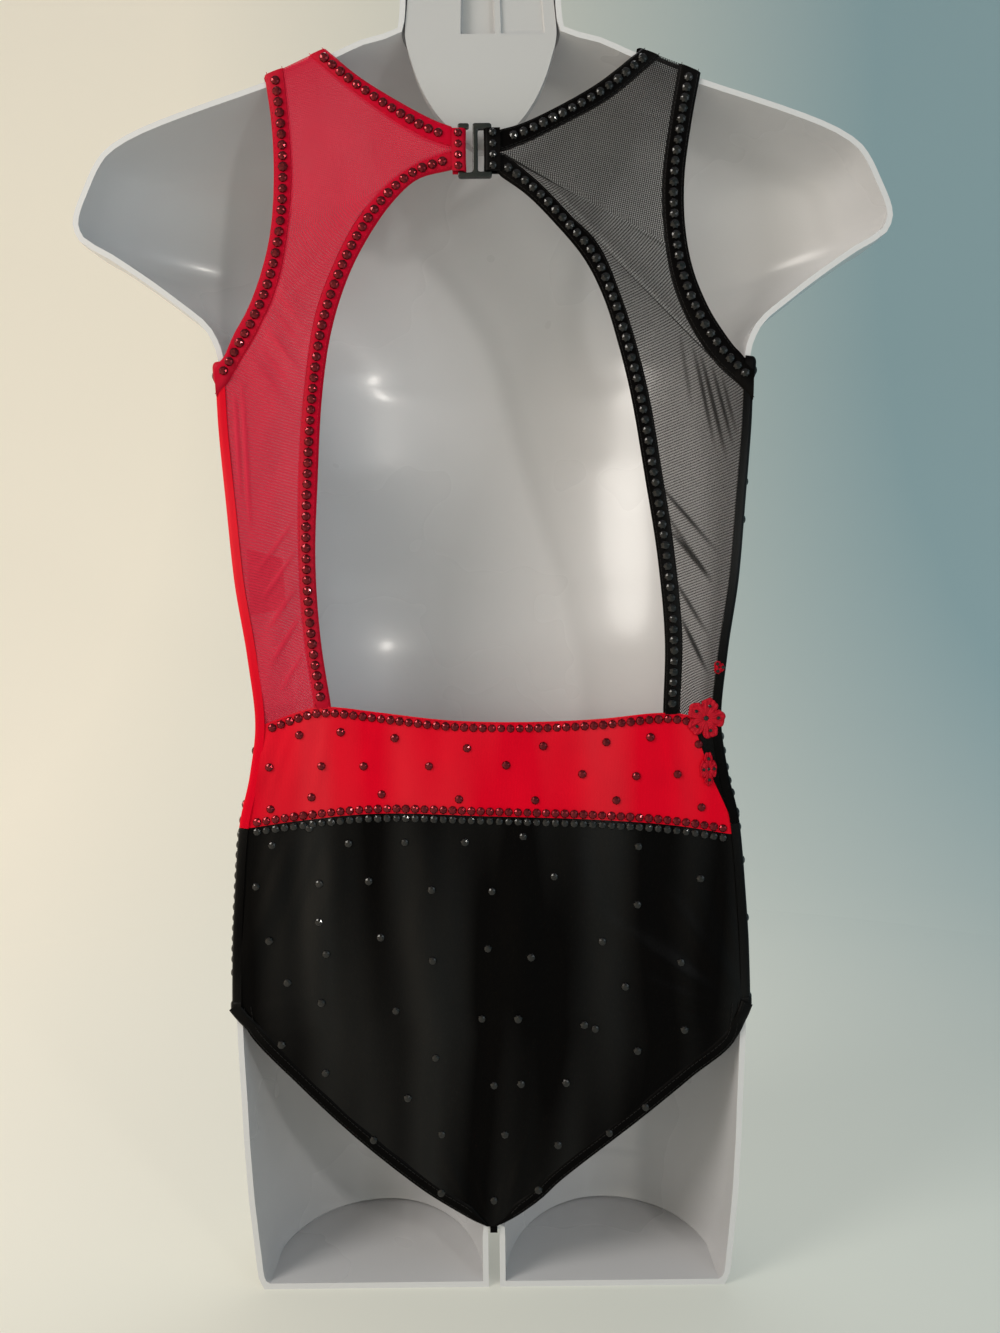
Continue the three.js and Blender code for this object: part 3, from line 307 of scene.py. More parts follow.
class SmoothTable:
    """Monotone cubic through a table's points, so that a form has no facets and no overshoot."""

    def __init__(self, table: Sequence[Sequence[float]], column: int = 1) -> None:
        """Work out the slopes.

        Args:
            table: rows that start with a rising place.
            column: which of a row's numbers is its value.
        """
        self.places = [row[0] for row in table]
        self.values = [row[column] for row in table]
        gaps = [b - a for a, b in zip(self.places, self.places[1:])]
        rises = [(b - a) / g for a, b, g in zip(self.values, self.values[1:], gaps)]
        self.slopes = [rises[0]]
        for k in range(1, len(rises)):
            before, after = rises[k - 1], rises[k]
            if before * after <= 0:
                self.slopes.append(0.0)
                continue
            w0, w1 = 2 * gaps[k] + gaps[k - 1], gaps[k] + 2 * gaps[k - 1]
            self.slopes.append((w0 + w1) / (w0 / before + w1 / after))
        self.slopes.append(rises[-1])

    def __call__(self, place: float) -> float:
        """Value at a place."""
        places, values, slopes = self.places, self.values, self.slopes
        place = clamp(place, places[0], places[-1])
        k = 0
        while k < len(places) - 2 and place > places[k + 1]:
            k += 1
        gap = places[k + 1] - places[k]
        t = (place - places[k]) / gap
        square, cube = t * t, t * t * t
        return (
            (2 * cube - 3 * square + 1) * values[k] + (cube - 2 * square + t) * gap * slopes[k]
            + (3 * square - 2 * cube) * values[k + 1] + (cube - square) * gap * slopes[k + 1]
        )


def curve_points(knots: Sequence[tuple[float, float]], per_span: int = 24) -> np.ndarray:
    """Dense centripetal curve through knots.

    Args:
        knots: points of the line.
        per_span: samples between two knots.

    Returns:
        Array of points along the curve.
    """
    points = [np.array(knot, dtype=float) for knot in knots]
    points = [2 * points[0] - points[1], *points, 2 * points[-1] - points[-2]]
    found = []
    for k in range(1, len(points) - 2):
        p0, p1, p2, p3 = points[k - 1:k + 3]
        d0, d1, d2 = (math.sqrt(np.linalg.norm(b - a)) for a, b in ((p0, p1), (p1, p2), (p2, p3)))
        t1 = ((p1 - p0) / d0 - (p2 - p0) / (d0 + d1) + (p2 - p1) / d1) * d1
        t2 = ((p2 - p1) / d1 - (p3 - p1) / (d1 + d2) + (p3 - p2) / d2) * d1
        for step in range(per_span):
            t = step / per_span
            found.append(
                (2 * t**3 - 3 * t**2 + 1) * p1 + (t**3 - 2 * t**2 + t) * t1
                + (3 * t**2 - 2 * t**3) * p2 + (t**3 - t**2) * t2
            )
    found.append(points[-2])
    return np.array(found)


def even_points(line: np.ndarray, count: int) -> np.ndarray:
    """Points spread evenly along a dense line.

    Args:
        line: dense points.
        count: number of steps.

    Returns:
        Array of count + 1 points.
    """
    runs = np.linalg.norm(np.diff(line, axis=0), axis=1)
    length = np.concatenate(([0.0], np.cumsum(runs)))
    at = np.linspace(0.0, length[-1], count + 1)
    return np.stack([np.interp(at, length, line[:, axis]) for axis in range(line.shape[1])], axis=1)


def along_line(knots: Sequence[tuple[float, float]], count: int) -> Line:
    """Evenly spread (x, z) points on the curve through a table's knots."""
    return [(float(x), float(z)) for x, z in even_points(curve_points(knots), count)]


class FormSurface:
    """The torso form's outside: the garment lies on it and its rim holds the back taut."""

    def __init__(self) -> None:
        """Read the outline table."""
        self.half, self.depth = SmoothTable(FORM_ROWS), SmoothTable(FORM_ROWS, 2)

    def floor(self, z: float) -> float:
        """Depth of the crotch floor over the rim plane."""
        rise = clamp((z - CROTCH_Z) / CROTCH_RISE, 0, 1)
        return self.depth(z) * math.sqrt(1 - (1 - rise) * (1 - rise))

    def point(self, p: float, z: float) -> Vector:
        """Point on the outside.

        Args:
            p: -1 at the left rim over the front to 1 at the right rim.
            z: height in mm.

        Returns:
            The point in mm.
        """
        half, depth = self.half(z), self.depth(z)
        side = -1.0 if p < 0 else 1.0
        share = min(1.0, abs(p))
        turn = share * math.pi / 2
        torso_x = half * math.sin(turn)
        torso_y = depth * max(0.0, math.cos(turn)) ** SECTION_FULLNESS
        leg = 1 - eased(clamp((z - LEG_BLEND_FROM) / LEG_BLEND_RUN, 0, 1))
        if leg == 0:
            return Vector((AXIS_X + side * torso_x, torso_y, z))
        floor = self.floor(z)
        middle, reach = (half + THIGH_GAP_HALF) / 2, (half - THIGH_GAP_HALF) / 2
        end = math.acos(clamp(floor / depth, 0, 1))
        if share < CHANNEL_SHARE:
            leg_x = (middle - reach * math.sin(end)) * share / CHANNEL_SHARE
            leg_y = floor
        else:
            angle = mix(-end, math.pi / 2, (share - CHANNEL_SHARE) / (1 - CHANNEL_SHARE))
            leg_x = middle + reach * math.sin(angle)
            round_ = max(0.0, math.cos(angle))
            leg_y = depth * round_**SECTION_FULLNESS if angle > 0 else max(depth * round_, floor)
        return Vector((AXIS_X + side * mix(torso_x, leg_x, leg), mix(torso_y, leg_y, leg), z))

    def normal(self, p: float, z: float) -> Vector:
        """Outward direction, flat in the rim plane at the rim.

        Args:
            p: place over the front.
            z: height in mm.

        Returns:
            The unit direction.
        """
        step_p, step_z = SLOPE_STEP
        along_p = self.point(min(1.0, p + step_p), z) - self.point(max(-1.0, p - step_p), z)
        along_z = self.point(p, z + step_z) - self.point(p, z - step_z)
        out = along_z.cross(along_p)
        if abs(p) > AT_RIM:
            out.y = 0
        return out.normalized()

    def place_at(self, x: float, z: float) -> float:
        """Place p of a given x at a height, found by halving."""
        low, high = -1.0, 1.0
        for _ in range(HALVINGS):
            middle = (low + high) / 2
            if self.point(middle, z).x < x:
                low = middle
            else:
                high = middle
        return (low + high) / 2

    def cloth_point(self, p: float, z: float, lift: float, wrap: float = 0.0) -> Vector:
        """Point of the cloth on the form.

        Args:
            p: place over the front.
            z: height in mm.
            lift: distance out from the form in mm.
            wrap: 0 to 1 for the quarter turn round the rim, then 1 plus mm inwards.

        Returns:
            The point in mm.
        """
        if wrap <= 0:
            return self.point(p, z) + self.normal(p, z) * lift
        side = -1.0 if p < 0 else 1.0
        out = self.normal(side, z)
        turn = min(wrap, 1.0) * math.pi / 2
        point = self.point(side, z) + out * (lift * math.cos(turn))
        point.y -= lift * math.sin(turn)
        return point - out * max(0.0, wrap - 1)

    def line_on(self, knots: Sequence[tuple[float, float]], count: int) -> Line:
        """Places (p, z) spread evenly over the surface along a table's line.

        Args:
            knots: distance from the middle and height.
            count: number of steps.

        Returns:
            Places on the right side of the form.
        """
        last = 120
        places, points = [], []
        for k, (x, z) in enumerate(even_points(curve_points(knots), last)):
            reach = min(float(x), self.half(float(z)))
            at_rim = k in (0, last) and abs(x) > RIM_FROM
            p = 1.0 if at_rim else self.place_at(AXIS_X + reach, float(z))
            places.append((p, float(z)))
            points.append(self.point(p, float(z)))
        runs = [0.0]
        for a, b in zip(points, points[1:]):
            runs.append(runs[-1] + (b - a).length)
        at = np.linspace(0, runs[-1], count + 1)
        found_p = np.interp(at, runs, [p for p, _ in places])
        found_z = np.interp(at, runs, [z for _, z in places])
        return [(float(p), float(z)) for p, z in zip(found_p, found_z)]


SURFACE = FormSurface()


def fold_height(folds: Sequence[Fold], x: float, z: float) -> float:
    """Height of all folds over the smooth cloth at a place."""
    return sum(fold.height(x, z) for fold in folds)


def ripple(x: float, z: float, size: float, tall: float) -> float:
    """Slight unevenness of cloth that isn't drawn tight.

    Args:
        x: place sideways in mm.
        z: height in mm.
        size: width of the unevenness in mm.
        tall: its height in mm.

    Returns:
        Height in mm.
    """
    return tall * noise.noise(Vector((x / size, z / (RIPPLE_STRETCH * size), 3.7)))


def back_inner(folds: Sequence[Fold], x: float, z: float) -> float:
    """Inner face of the cloth stretched just outside the rim plane."""
    return -BACK_CLEAR - max(0.0, fold_height(folds, x, z))


def to_row(point: Vector) -> tuple[float, float, float]:
    """Point in the frame's metres."""
    return ((point.x - AXIS_X) * MM, (point.y - FRAME_Y) * MM, point.z * MM)


def linked(name: str, data: bpy.types.ID) -> Piece:
    """New object in the scene."""
    piece = bpy.data.objects.new(name, data)
    bpy.context.scene.collection.objects.link(piece)
    return piece


def evaluated(piece: Piece) -> bpy.types.Mesh:
    """Plain mesh that a piece's curve or modifiers make."""
    graph = bpy.context.evaluated_depsgraph_get()
    return bpy.data.meshes.new_from_object(piece.evaluated_get(graph), depsgraph=graph)


class MeshMaker:
    """Turns grids of points into finished mesh objects."""

    @staticmethod
    def grid_uv(grid: Grid) -> list[list[tuple[float, float]]]:
        """Flat place of each grid point, measured along its row and column.

        Args:
            grid: rows of points in mm.

        Returns:
            Place in metres for each point.
        """
        middle = len(grid[0]) // 2
        uv = []
        rise = 0.0
        for r, row in enumerate(grid):
            if r:
                rise += (row[middle] - grid[r - 1][middle]).length
            run = 0.0
            across = [0.0]
            for a, b in zip(row, row[1:]):
                run += (b - a).length
                across.append(run)
            shift = across[middle]
            uv.append([((value - shift) * MM, rise * MM) for value in across])
        return uv

    @classmethod
    def shell(cls, name: str, outer: Grid, inner: Grid, ring: bool = False,
              masks: dict[str, list[float]] | None = None) -> Piece:
        """Closed wall between two grids with the same rows and columns.

        Args:
            name: piece name.
            outer: outer face's points.
            inner: inner face's points.
            ring: whether the last row joins the first.
            masks: named values, one for each point of the outer grid.

        Returns:
            The object.
        """
        rows, cols = len(outer), len(outer[0])
        points = [to_row(p) for grid in (outer, inner) for row in grid for p in row]
        flat = [uv for row in cls.grid_uv(outer) for uv in row]
        faces: list[tuple[int, ...]] = []

        def spot(layer: int, r: int, c: int) -> int:
            """Index of a point."""
            return layer * rows * cols + (r % rows) * cols + c

        for r in range(rows if ring else rows - 1):
            for c in range(cols - 1):
                faces.append((spot(0, r, c), spot(0, r, c + 1), spot(0, r + 1, c + 1), spot(0, r + 1, c)))
                faces.append((spot(1, r, c), spot(1, r + 1, c), spot(1, r + 1, c + 1), spot(1, r, c + 1)))
            faces.append((spot(0, r, 0), spot(0, r + 1, 0), spot(1, r + 1, 0), spot(1, r, 0)))
            last = cols - 1
            faces.append((spot(0, r, last), spot(1, r, last), spot(1, r + 1, last), spot(0, r + 1, last)))
        if not ring:
            end = rows - 1
            for c in range(cols - 1):
                faces.append((spot(0, 0, c), spot(1, 0, c), spot(1, 0, c + 1), spot(0, 0, c + 1)))
                faces.append((spot(0, end, c), spot(0, end, c + 1), spot(1, end, c + 1), spot(1, end, c)))
        piece = cls.mesh(name, points, faces)
        layer = piece.data.uv_layers.new(name="cloth")
        corners = np.empty(len(piece.data.loops), dtype=np.int32)
        piece.data.loops.foreach_get("vertex_index", corners)
        table = np.array(flat + flat, dtype=np.float32)
        layer.data.foreach_set("uv", table[corners].ravel())
        for key, values in (masks or {}).items():
            attribute = piece.data.attributes.new(key, "FLOAT", "POINT")
            attribute.data.foreach_set("value", np.array(values + values, dtype=np.float32))
        cls.face_out(piece)
        cls.smooth(piece)
        return piece

    @staticmethod
    def mesh(name: str, points: Sequence[Sequence[float]],
             faces: Sequence[Sequence[int]]) -> Piece:
        """Object from points and faces in the frame's metres."""
        data = bpy.data.meshes.new(name)
        data.from_pydata([tuple(p) for p in points], [], [tuple(f) for f in faces])
        data.update()
        return linked(name, data)

    @staticmethod
    def face_out(piece: Piece) -> None:
        """Turn a closed mesh so that its volume is positive."""
        data = piece.data
        work = bmesh.new()
        work.from_mesh(data)
        if work.calc_volume(signed=True) < 0:
            bmesh.ops.reverse_faces(work, faces=work.faces[:])
        work.to_mesh(data)
        work.free()

    @staticmethod
    def smooth(piece: Piece, angle: float = 50.0) -> None:
        """Shade smooth, with an edge kept where faces turn by more than the angle."""
        piece.data.shade_smooth()
        piece.data.set_sharp_from_angle(angle=math.radians(angle))


def dress(piece: Piece, material: bpy.types.Material, slot: str | None = None,
          stands_for: Sequence[str] = ()) -> Piece:
    """Give a piece its finish, attach it to the body and hide the solids that it replaces.

    Args:
        piece: the object.
        material: its finish.
        slot: the record's material slot; not used.
        stands_for: solids that it replaces.

    Returns:
        The same object.
    """
    piece.data.materials.clear()
    piece.data.materials.append(material)
    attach(piece, BODY)
    if stands_for:
        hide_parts(*stands_for)
    LOG.info("%s: %d faces", piece.name, len(piece.data.polygons))
    return piece


class Sketch:
    """Adds nodes to a shader tree and joins them."""

    def __init__(self, tree: bpy.types.NodeTree) -> None:
        """Work on a tree."""
        self.tree = tree

    def add(self, kind: str, **inputs: object) -> bpy.types.Node:
        """New node with input values or links by name."""
        return self.fill(self.tree.nodes.new(kind), **inputs)

    def fill(self, node: bpy.types.Node, **inputs: object) -> bpy.types.Node:
        """Give a node's inputs values or links.

        Args:
            node: the node.
            inputs: socket name, with _ for a blank, and a value or an output socket.

        Returns:
            The same node.
        """
        for key, value in inputs.items():
            self.put(node.inputs[key.replace("_", " ")], value)
        return node

    def put(self, socket: Socket, value: object) -> None:
        """Set a socket's value, or link an output to it."""
        if isinstance(value, Socket):
            self.tree.links.new(value, socket)
        else:
            socket.default_value = value

    def group(self, tree: bpy.types.NodeTree, **inputs: object) -> bpy.types.NodeOutputs:
        """Outputs of a shared group with the given inputs."""
        node = self.tree.nodes.new("ShaderNodeGroup")
        node.node_tree = tree
        return self.fill(node, **inputs).outputs

    def math(self, operation: str, *values: object, clamped: bool = False) -> Socket:
        """Math node's result for one to three values."""
        node = self.tree.nodes.new("ShaderNodeMath")
        node.operation = operation
        node.use_clamp = clamped
        for socket, value in zip(node.inputs, values):
            self.put(socket, value)
        return node.outputs[0]

    def blend(self, factor: object, low: object, high: object) -> Socket:
        """Colour between two colours."""
        node = self.tree.nodes.new("ShaderNodeMix")
        node.data_type = "RGBA"
        for place, value in zip(COLOR_MIX_INPUTS, (factor, low, high)):
            self.put(node.inputs[place], value)
        return node.outputs[COLOR_MIX_RESULT]

    def bump(self, height: Socket, strength: float, distance: float) -> Socket:
        """Normal of a relief."""
        return self.add("ShaderNodeBump", Strength=strength, Distance=distance, Height=height).outputs[0]

    def cloth_place(self) -> Socket:
        """Place on the cloth in metres along its rows and columns."""
        node = self.add("ShaderNodeUVMap")
        node.uv_map = "cloth"
        return node.outputs[0]

    def object_place(self) -> Socket:
        """Place in the piece's own space in metres."""
        return self.add("ShaderNodeTexCoord").outputs["Object"]

    def scaled_parts(self, vector: Socket, by: object) -> bpy.types.NodeOutputs:
        """X, Y and Z of a vector times a number."""
        node = self.tree.nodes.new("ShaderNodeVectorMath")
        node.operation = "SCALE"
        self.put(node.inputs[0], vector)
        self.put(node.inputs["Scale"], by)
        return self.add("ShaderNodeSeparateXYZ", Vector=node.outputs[0]).outputs


# Places of factor, first and second colour among a mix node's inputs, and of the colour it gives
COLOR_MIX_INPUTS = (0, 6, 7)
COLOR_MIX_RESULT = 2
FLOAT, VECTOR = "NodeSocketFloat", "NodeSocketVector"


def new_group(name: str, inputs: dict[str, str], outputs: Sequence[str]) -> tuple[
        bpy.types.NodeTree, Sketch, bpy.types.NodeOutputs, bpy.types.NodeInputs]:
    """Empty shader node group with named sockets.

    Args:
        name: group name.
        inputs: name and socket type of each input.
        outputs: name of each number that it gives.

    Returns:
        The group, its sketch, the sockets of its inputs and those of its outputs.
    """
    group = bpy.data.node_groups.new(name, "ShaderNodeTree")
    for label, kind in inputs.items():
        group.interface.new_socket(label, in_out="INPUT", socket_type=kind)
    for label in outputs:
        group.interface.new_socket(label, in_out="OUTPUT", socket_type=FLOAT)
    sketch = Sketch(group)
    return group, sketch, sketch.add("NodeGroupInput").outputs, sketch.add("NodeGroupOutput").inputs


class ShaderGroups:
    """Effects that several finishes share, each built once."""

    def __init__(self) -> None:
        """Build the groups."""
        self.knit = self._knit()
        self.net = self._net()
        self.uneven = self._uneven()

    @staticmethod
    def _knit() -> bpy.types.NodeTree:
        """Fine ribs of a stretch knit: columns of small loops."""
        turn, squat, leaning, loops, ribs = 2 * math.pi, 0.8, 1.2, 0.3, 0.2
        group, s, source, sink = new_group("stretch_knit", {"Place": VECTOR, "Per Metre": FLOAT}, ["Height"])
        x, y, _ = s.scaled_parts(source["Place"], source["Per Metre"])
        across = s.math("SINE", s.math("MULTIPLY", x, turn))
        lean = s.math("MULTIPLY", s.math("ABSOLUTE", across), leaning)
        along = s.math("SINE", s.math("ADD", s.math("MULTIPLY", y, turn * squat), lean))
        height = s.math("MULTIPLY_ADD", s.math("MULTIPLY", across, along), loops, 0.5)
        s.put(sink["Height"], s.math("ADD", height, s.math("MULTIPLY", across, ribs)))
        return group

    @staticmethod
    def _net() -> bpy.types.NodeTree:
        """Fine slanting net: how much thread covers each place, and its relief."""
        skew, one_power, two_power, closed_by_fold = 1.15, 0.5, 0.7, 0.75
        group, s, source, sink = new_group(
            "slanting_net", {"Place": VECTOR, "Per Metre": FLOAT, "Open": FLOAT, "Fold": FLOAT},
            ["Cover", "Height"])
        x, y, _ = s.scaled_parts(source["Place"], source["Per Metre"])
        up, down = s.math("ADD", x, y), s.math("SUBTRACT", s.math("MULTIPLY", x, skew), y)
        one, two = (s.math("ABSOLUTE", s.math("SINE", s.math("MULTIPLY", way, math.pi)))
                    for way in (up, down))
        hole = s.math("MULTIPLY", s.math("POWER", one, one_power), s.math("POWER", two, two_power))
        tight = s.math("SUBTRACT", 1.0, s.math("MULTIPLY", source["Fold"], closed_by_fold, clamped=True))
        opened = s.math("MULTIPLY", s.math("MULTIPLY", hole, source["Open"]), tight)
        s.put(sink["Cover"], s.math("SUBTRACT", 1.0, opened, clamped=True))
        s.put(sink["Height"], s.math("SUBTRACT", 1.0, hole))
        return group

    @staticmethod
    def _uneven() -> bpy.types.NodeTree:
        """Soft unevenness in broad patches and in fine grain."""
        group, s, source, sink = new_group(
            "uneven_surface", {"Place": VECTOR, "Patch": FLOAT, "Grain": FLOAT}, ["Patches", "Fine"])
        for result, scale, detail, rough in (("Patches", "Patch", 3.0, 0.55), ("Fine", "Grain", 2.0, 0.6)):
            found = s.add("ShaderNodeTexNoise", Vector=source["Place"], Scale=source[scale],
                          Detail=detail, Roughness=rough)
            s.put(sink[result], found.outputs[0])
        return group


@dataclass(frozen=True)
class Finish:
    """What every finish has."""

    name: str
    color: tuple[float, float, float]
    roughness: float

    def start(self) -> tuple[bpy.types.Material, Sketch, bpy.types.Node]:
        """New material with its shader.

        Returns:
            The material, its sketch and its shader node.
        """
        material = bpy.data.materials.new(self.name)
        material.use_nodes = True
        sketch = Sketch(material.node_tree)
        shader = material.node_tree.nodes["Principled BSDF"]
        return material, sketch, shader

    def shade(self, by: float) -> tuple[float, float, float, float]:
        """The colour, darker or lighter."""
        red, green, blue = (clamp(value * by, 0, 1) for value in self.color)
        return (red, green, blue, 1.0)


@dataclass(frozen=True)
class PlasticFinish(Finish):
    """Moulded plastic, glossy with a slight orange peel."""

    coat: float = 0.3
    bump: float = 0.06

    def build(self, groups: ShaderGroups) -> bpy.types.Material:
        """The material."""
        material, s, shader = self.start()
        uneven = s.group(groups.uneven, Place=s.object_place(), Patch=7.0, Grain=240.0)
        patches = uneven["Patches"]
        s.fill(shader, Base_Color=s.blend(patches, self.shade(0.96), self.shade(1.03)),
               Roughness=s.math("MULTIPLY_ADD", patches, 0.12, self.roughness - 0.06),
               Normal=s.bump(uneven["Fine"], self.bump, 0.0006),
               Coat_Weight=self.coat, Coat_Roughness=0.12)
        return material


@dataclass(frozen=True)
class KnitFinish(Finish):
    """Shiny stretch cloth with fine ribs, painted shade in their grooves, and a sheen."""

    gloss: float = 0.3
    per_metre: float = 1250.0
    bump: float = 0.3
    # Share of the colour that follows the ribs' relief, darker in their grooves: painted shade
    rib_share: float = 0.45
    # Broad upright bands that catch the light: how many a metre across and up, and how sharply they part
    bands: tuple[float, float, float] = (26.0, 3.2, 1.0)
    band_sharpness: float = 4.0
    band_cut: float = -1.7
    lit_gloss: float = 1.9
    dull_gloss: float = 0.35

    def build(self, groups: ShaderGroups) -> bpy.types.Material:
        """The material."""
        material, s, shader = self.start()
        place = s.cloth_place()
        height = s.group(groups.knit, Place=place, Per_Metre=self.per_metre)["Height"]
        uneven = s.group(groups.uneven, Place=place, Patch=22.0, Grain=900.0)
        patches = uneven["Patches"]
        # Colour darker where the knit's relief is low, painted shade in its grooves, mixed with uneven tone
        # in patches
        tone_and_painted_shade = s.math("MULTIPLY_ADD", height, self.rib_share,
                      s.math("MULTIPLY", patches, 1 - self.rib_share), clamped=True)
        relief = s.math("MULTIPLY_ADD", uneven["Fine"], 0.5, height)
        stretched = s.add("ShaderNodeMapping", Vector=place, Scale=self.bands).outputs[0]
        bands = s.add("ShaderNodeTexNoise", Vector=stretched, Scale=1.0, Detail=1.0).outputs[0]
        lit = s.math("MULTIPLY_ADD", bands, self.band_sharpness, self.band_cut, clamped=True)
        s.fill(shader, Base_Color=s.blend(tone_and_painted_shade, self.shade(0.72), self.shade(1.25)),
               Roughness=s.math("MULTIPLY_ADD", patches, 0.16, self.roughness - 0.08),
               Normal=s.bump(relief, self.bump, 0.00025),
               Specular_IOR_Level=s.math("MULTIPLY_ADD", lit, self.gloss * self.lit_gloss,
                                         self.gloss * self.dull_gloss))
        return material


@dataclass(frozen=True)
class NetFinish(Finish):
    """Sheer stretch net, more closed where it folds."""

    open_share: float = 0.5
    per_metre: float = 520.0

    def build(self, groups: ShaderGroups) -> bpy.types.Material:
        """The material."""
        material, s, shader = self.start()
        place = s.cloth_place()
        fold = s.add("ShaderNodeAttribute")
        fold.attribute_name = "fold"
        net = s.group(groups.net, Place=place, Per_Metre=self.per_metre, Open=self.open_share,
                      Fold=fold.outputs["Fac"])
        uneven = s.group(groups.uneven, Place=place, Patch=18.0, Grain=700.0)
        s.fill(shader, Base_Color=s.blend(uneven["Patches"], self.shade(0.8), self.shade(1.2)),
               Alpha=net["Cover"], Normal=s.bump(net["Height"], 0.2, 0.0002),
               Roughness=self.roughness, Specular_IOR_Level=0.2)
        return material


@dataclass(frozen=True)
class StoneFinish(Finish):
    """Foiled glass stone with sharp facets."""

    metallic: float = 0.8
    coat: float = 0.2

    def build(self, groups: ShaderGroups) -> bpy.types.Material:
        """The material."""
        material, s, shader = self.start()
        uneven = s.group(groups.uneven, Place=s.object_place(), Patch=190.0, Grain=900.0)
        s.fill(shader, Base_Color=s.blend(uneven["Patches"], self.shade(0.35), self.shade(1.9)),
               Roughness=s.math("MULTIPLY_ADD", uneven["Fine"], 0.1, self.roughness),
               Metallic=self.metallic, Coat_Weight=self.coat, Coat_Roughness=0.04)
        return material


@dataclass(frozen=True)
class ThreadFinish(Finish):
    """Embroidery and sewing thread with slanting strands, darker between them with painted shade."""

    per_metre: float = 1500.0
    # Turns a count of strands a metre into the wave texture's own scale
    wave_share: float = 6.0

    def build(self, _: ShaderGroups) -> bpy.types.Material:
        """The material."""
        material, s, shader = self.start()
        strands = s.add("ShaderNodeTexWave", Vector=s.object_place(), Scale=self.per_metre / self.wave_share,
                        Distortion=1.6, Detail=1.0)
        strands.bands_direction = "DIAGONAL"
        wave = strands.outputs["Fac"]
        # The strands' relief also sets the colour, darker where it is low: painted shade between strands
        s.fill(shader, Base_Color=s.blend(wave, self.shade(0.6), self.shade(1.25)),
               Normal=s.bump(wave, 0.35, 0.0003), Roughness=self.roughness, Specular_IOR_Level=0.15)
        return material


@dataclass(frozen=True)
class StageFinish(Finish):
    """Plain pale paper of the floor and backdrop, from a warm side to a cool side: the warm side is painted
    light and the darker cool side painted shade, also in its glow.
    """

    # Darker cool colour of the right side: painted shade
    cool: tuple[float, float, float] = (0.17, 0.25, 0.27)
    glow: float = 0.60
    # The share of the painted cool shade rises by the run value for each metre to the right and has the
    # middle value in the middle
    cool_run: float = 0.55
    cool_middle: float = 0.45

    def build(self, _: ShaderGroups) -> bpy.types.Material:
        """The material."""
        material, s, shader = self.start()
        place = s.add("ShaderNodeSeparateXYZ", Vector=s.object_place()).outputs[0]
        # Warm painted light on the left turns into darker cool painted shade to the right, in colour and
        # glow alike
        across = s.math("MULTIPLY_ADD", place, self.cool_run, self.cool_middle, clamped=True)
        tone_and_painted_shade = s.blend(across, (*self.color, 1.0), (*self.cool, 1.0))
        s.fill(shader, Base_Color=tone_and_painted_shade, Emission_Color=tone_and_painted_shade, Emission_Strength=self.glow,
               Roughness=self.roughness)
        return material


class Finishes:
    """All finishes of the leotard, its stones and the form."""

    def __init__(self) -> None:
        """Build every material once."""
        groups = ShaderGroups()
        self.form = PlasticFinish("white_form_plastic", (0.60, 0.60, 0.62), 0.28, 0.15).build(groups)
        # The neck plate is the form's own plastic made darker: painted shade
        self.plate = PlasticFinish("painted_shade_form_plastic", (0.46, 0.46, 0.47), 0.36, 0.08).build(groups)
        self.hook = PlasticFinish("dark_hook_plastic", (0.005, 0.007, 0.006), 0.22, 0.15, 0.03).build(groups)
        self.knit = self.pair(
            groups, KnitFinish("red_spandex", (0.66, 0.0, 0.014), 0.5, 0.12),
            KnitFinish("black_spandex", (0.0012, 0.0010, 0.0010), 0.38, 0.10))
        self.net = self.pair(
            groups, NetFinish("red_net", (0.60, 0.012, 0.045), 0.6, 0.56, 600.0),
            NetFinish("black_net", (0.008, 0.007, 0.007), 0.7, 1.0, 680.0))
        self.binding = self.pair(
            groups, KnitFinish("red_binding", (0.46, 0.0, 0.018), 0.5, 0.15, 1500.0),
            KnitFinish("black_binding", (0.0015, 0.0011, 0.0011), 0.44, 0.07, 1500.0))
        self.stone = self.pair(
            groups, StoneFinish("dark_red_stone", (0.13, 0.003, 0.008), 0.10),
            StoneFinish("jet_stone", (0.004, 0.0036, 0.0036), 0.08, 0.3, 0.2))
        self.thread = self.pair(
            groups, ThreadFinish("red_thread", (0.50, 0.0, 0.02), 0.55),
            ThreadFinish("black_thread", (0.006, 0.005, 0.005), 0.5))
        self.applique = ThreadFinish("flower_thread", (0.50, 0.003, 0.018), 0.5, 6600.0).build(groups)
        self.label = NetFinish("label_film", (0.75, 0.10, 0.14), 0.5, 0.62, 1200.0).build(groups)
        # Pale paper, warm on its left side with painted light
        self.stage = StageFinish("pale_stage", (0.66, 0.60, 0.50), 0.95).build(groups)

    @staticmethod
    def pair(groups: ShaderGroups, red: Finish, black: Finish) -> dict[Half, bpy.types.Material]:
        """Both colour halves' materials."""
        return {Half.RED: red.build(groups), Half.BLACK: black.build(groups)}


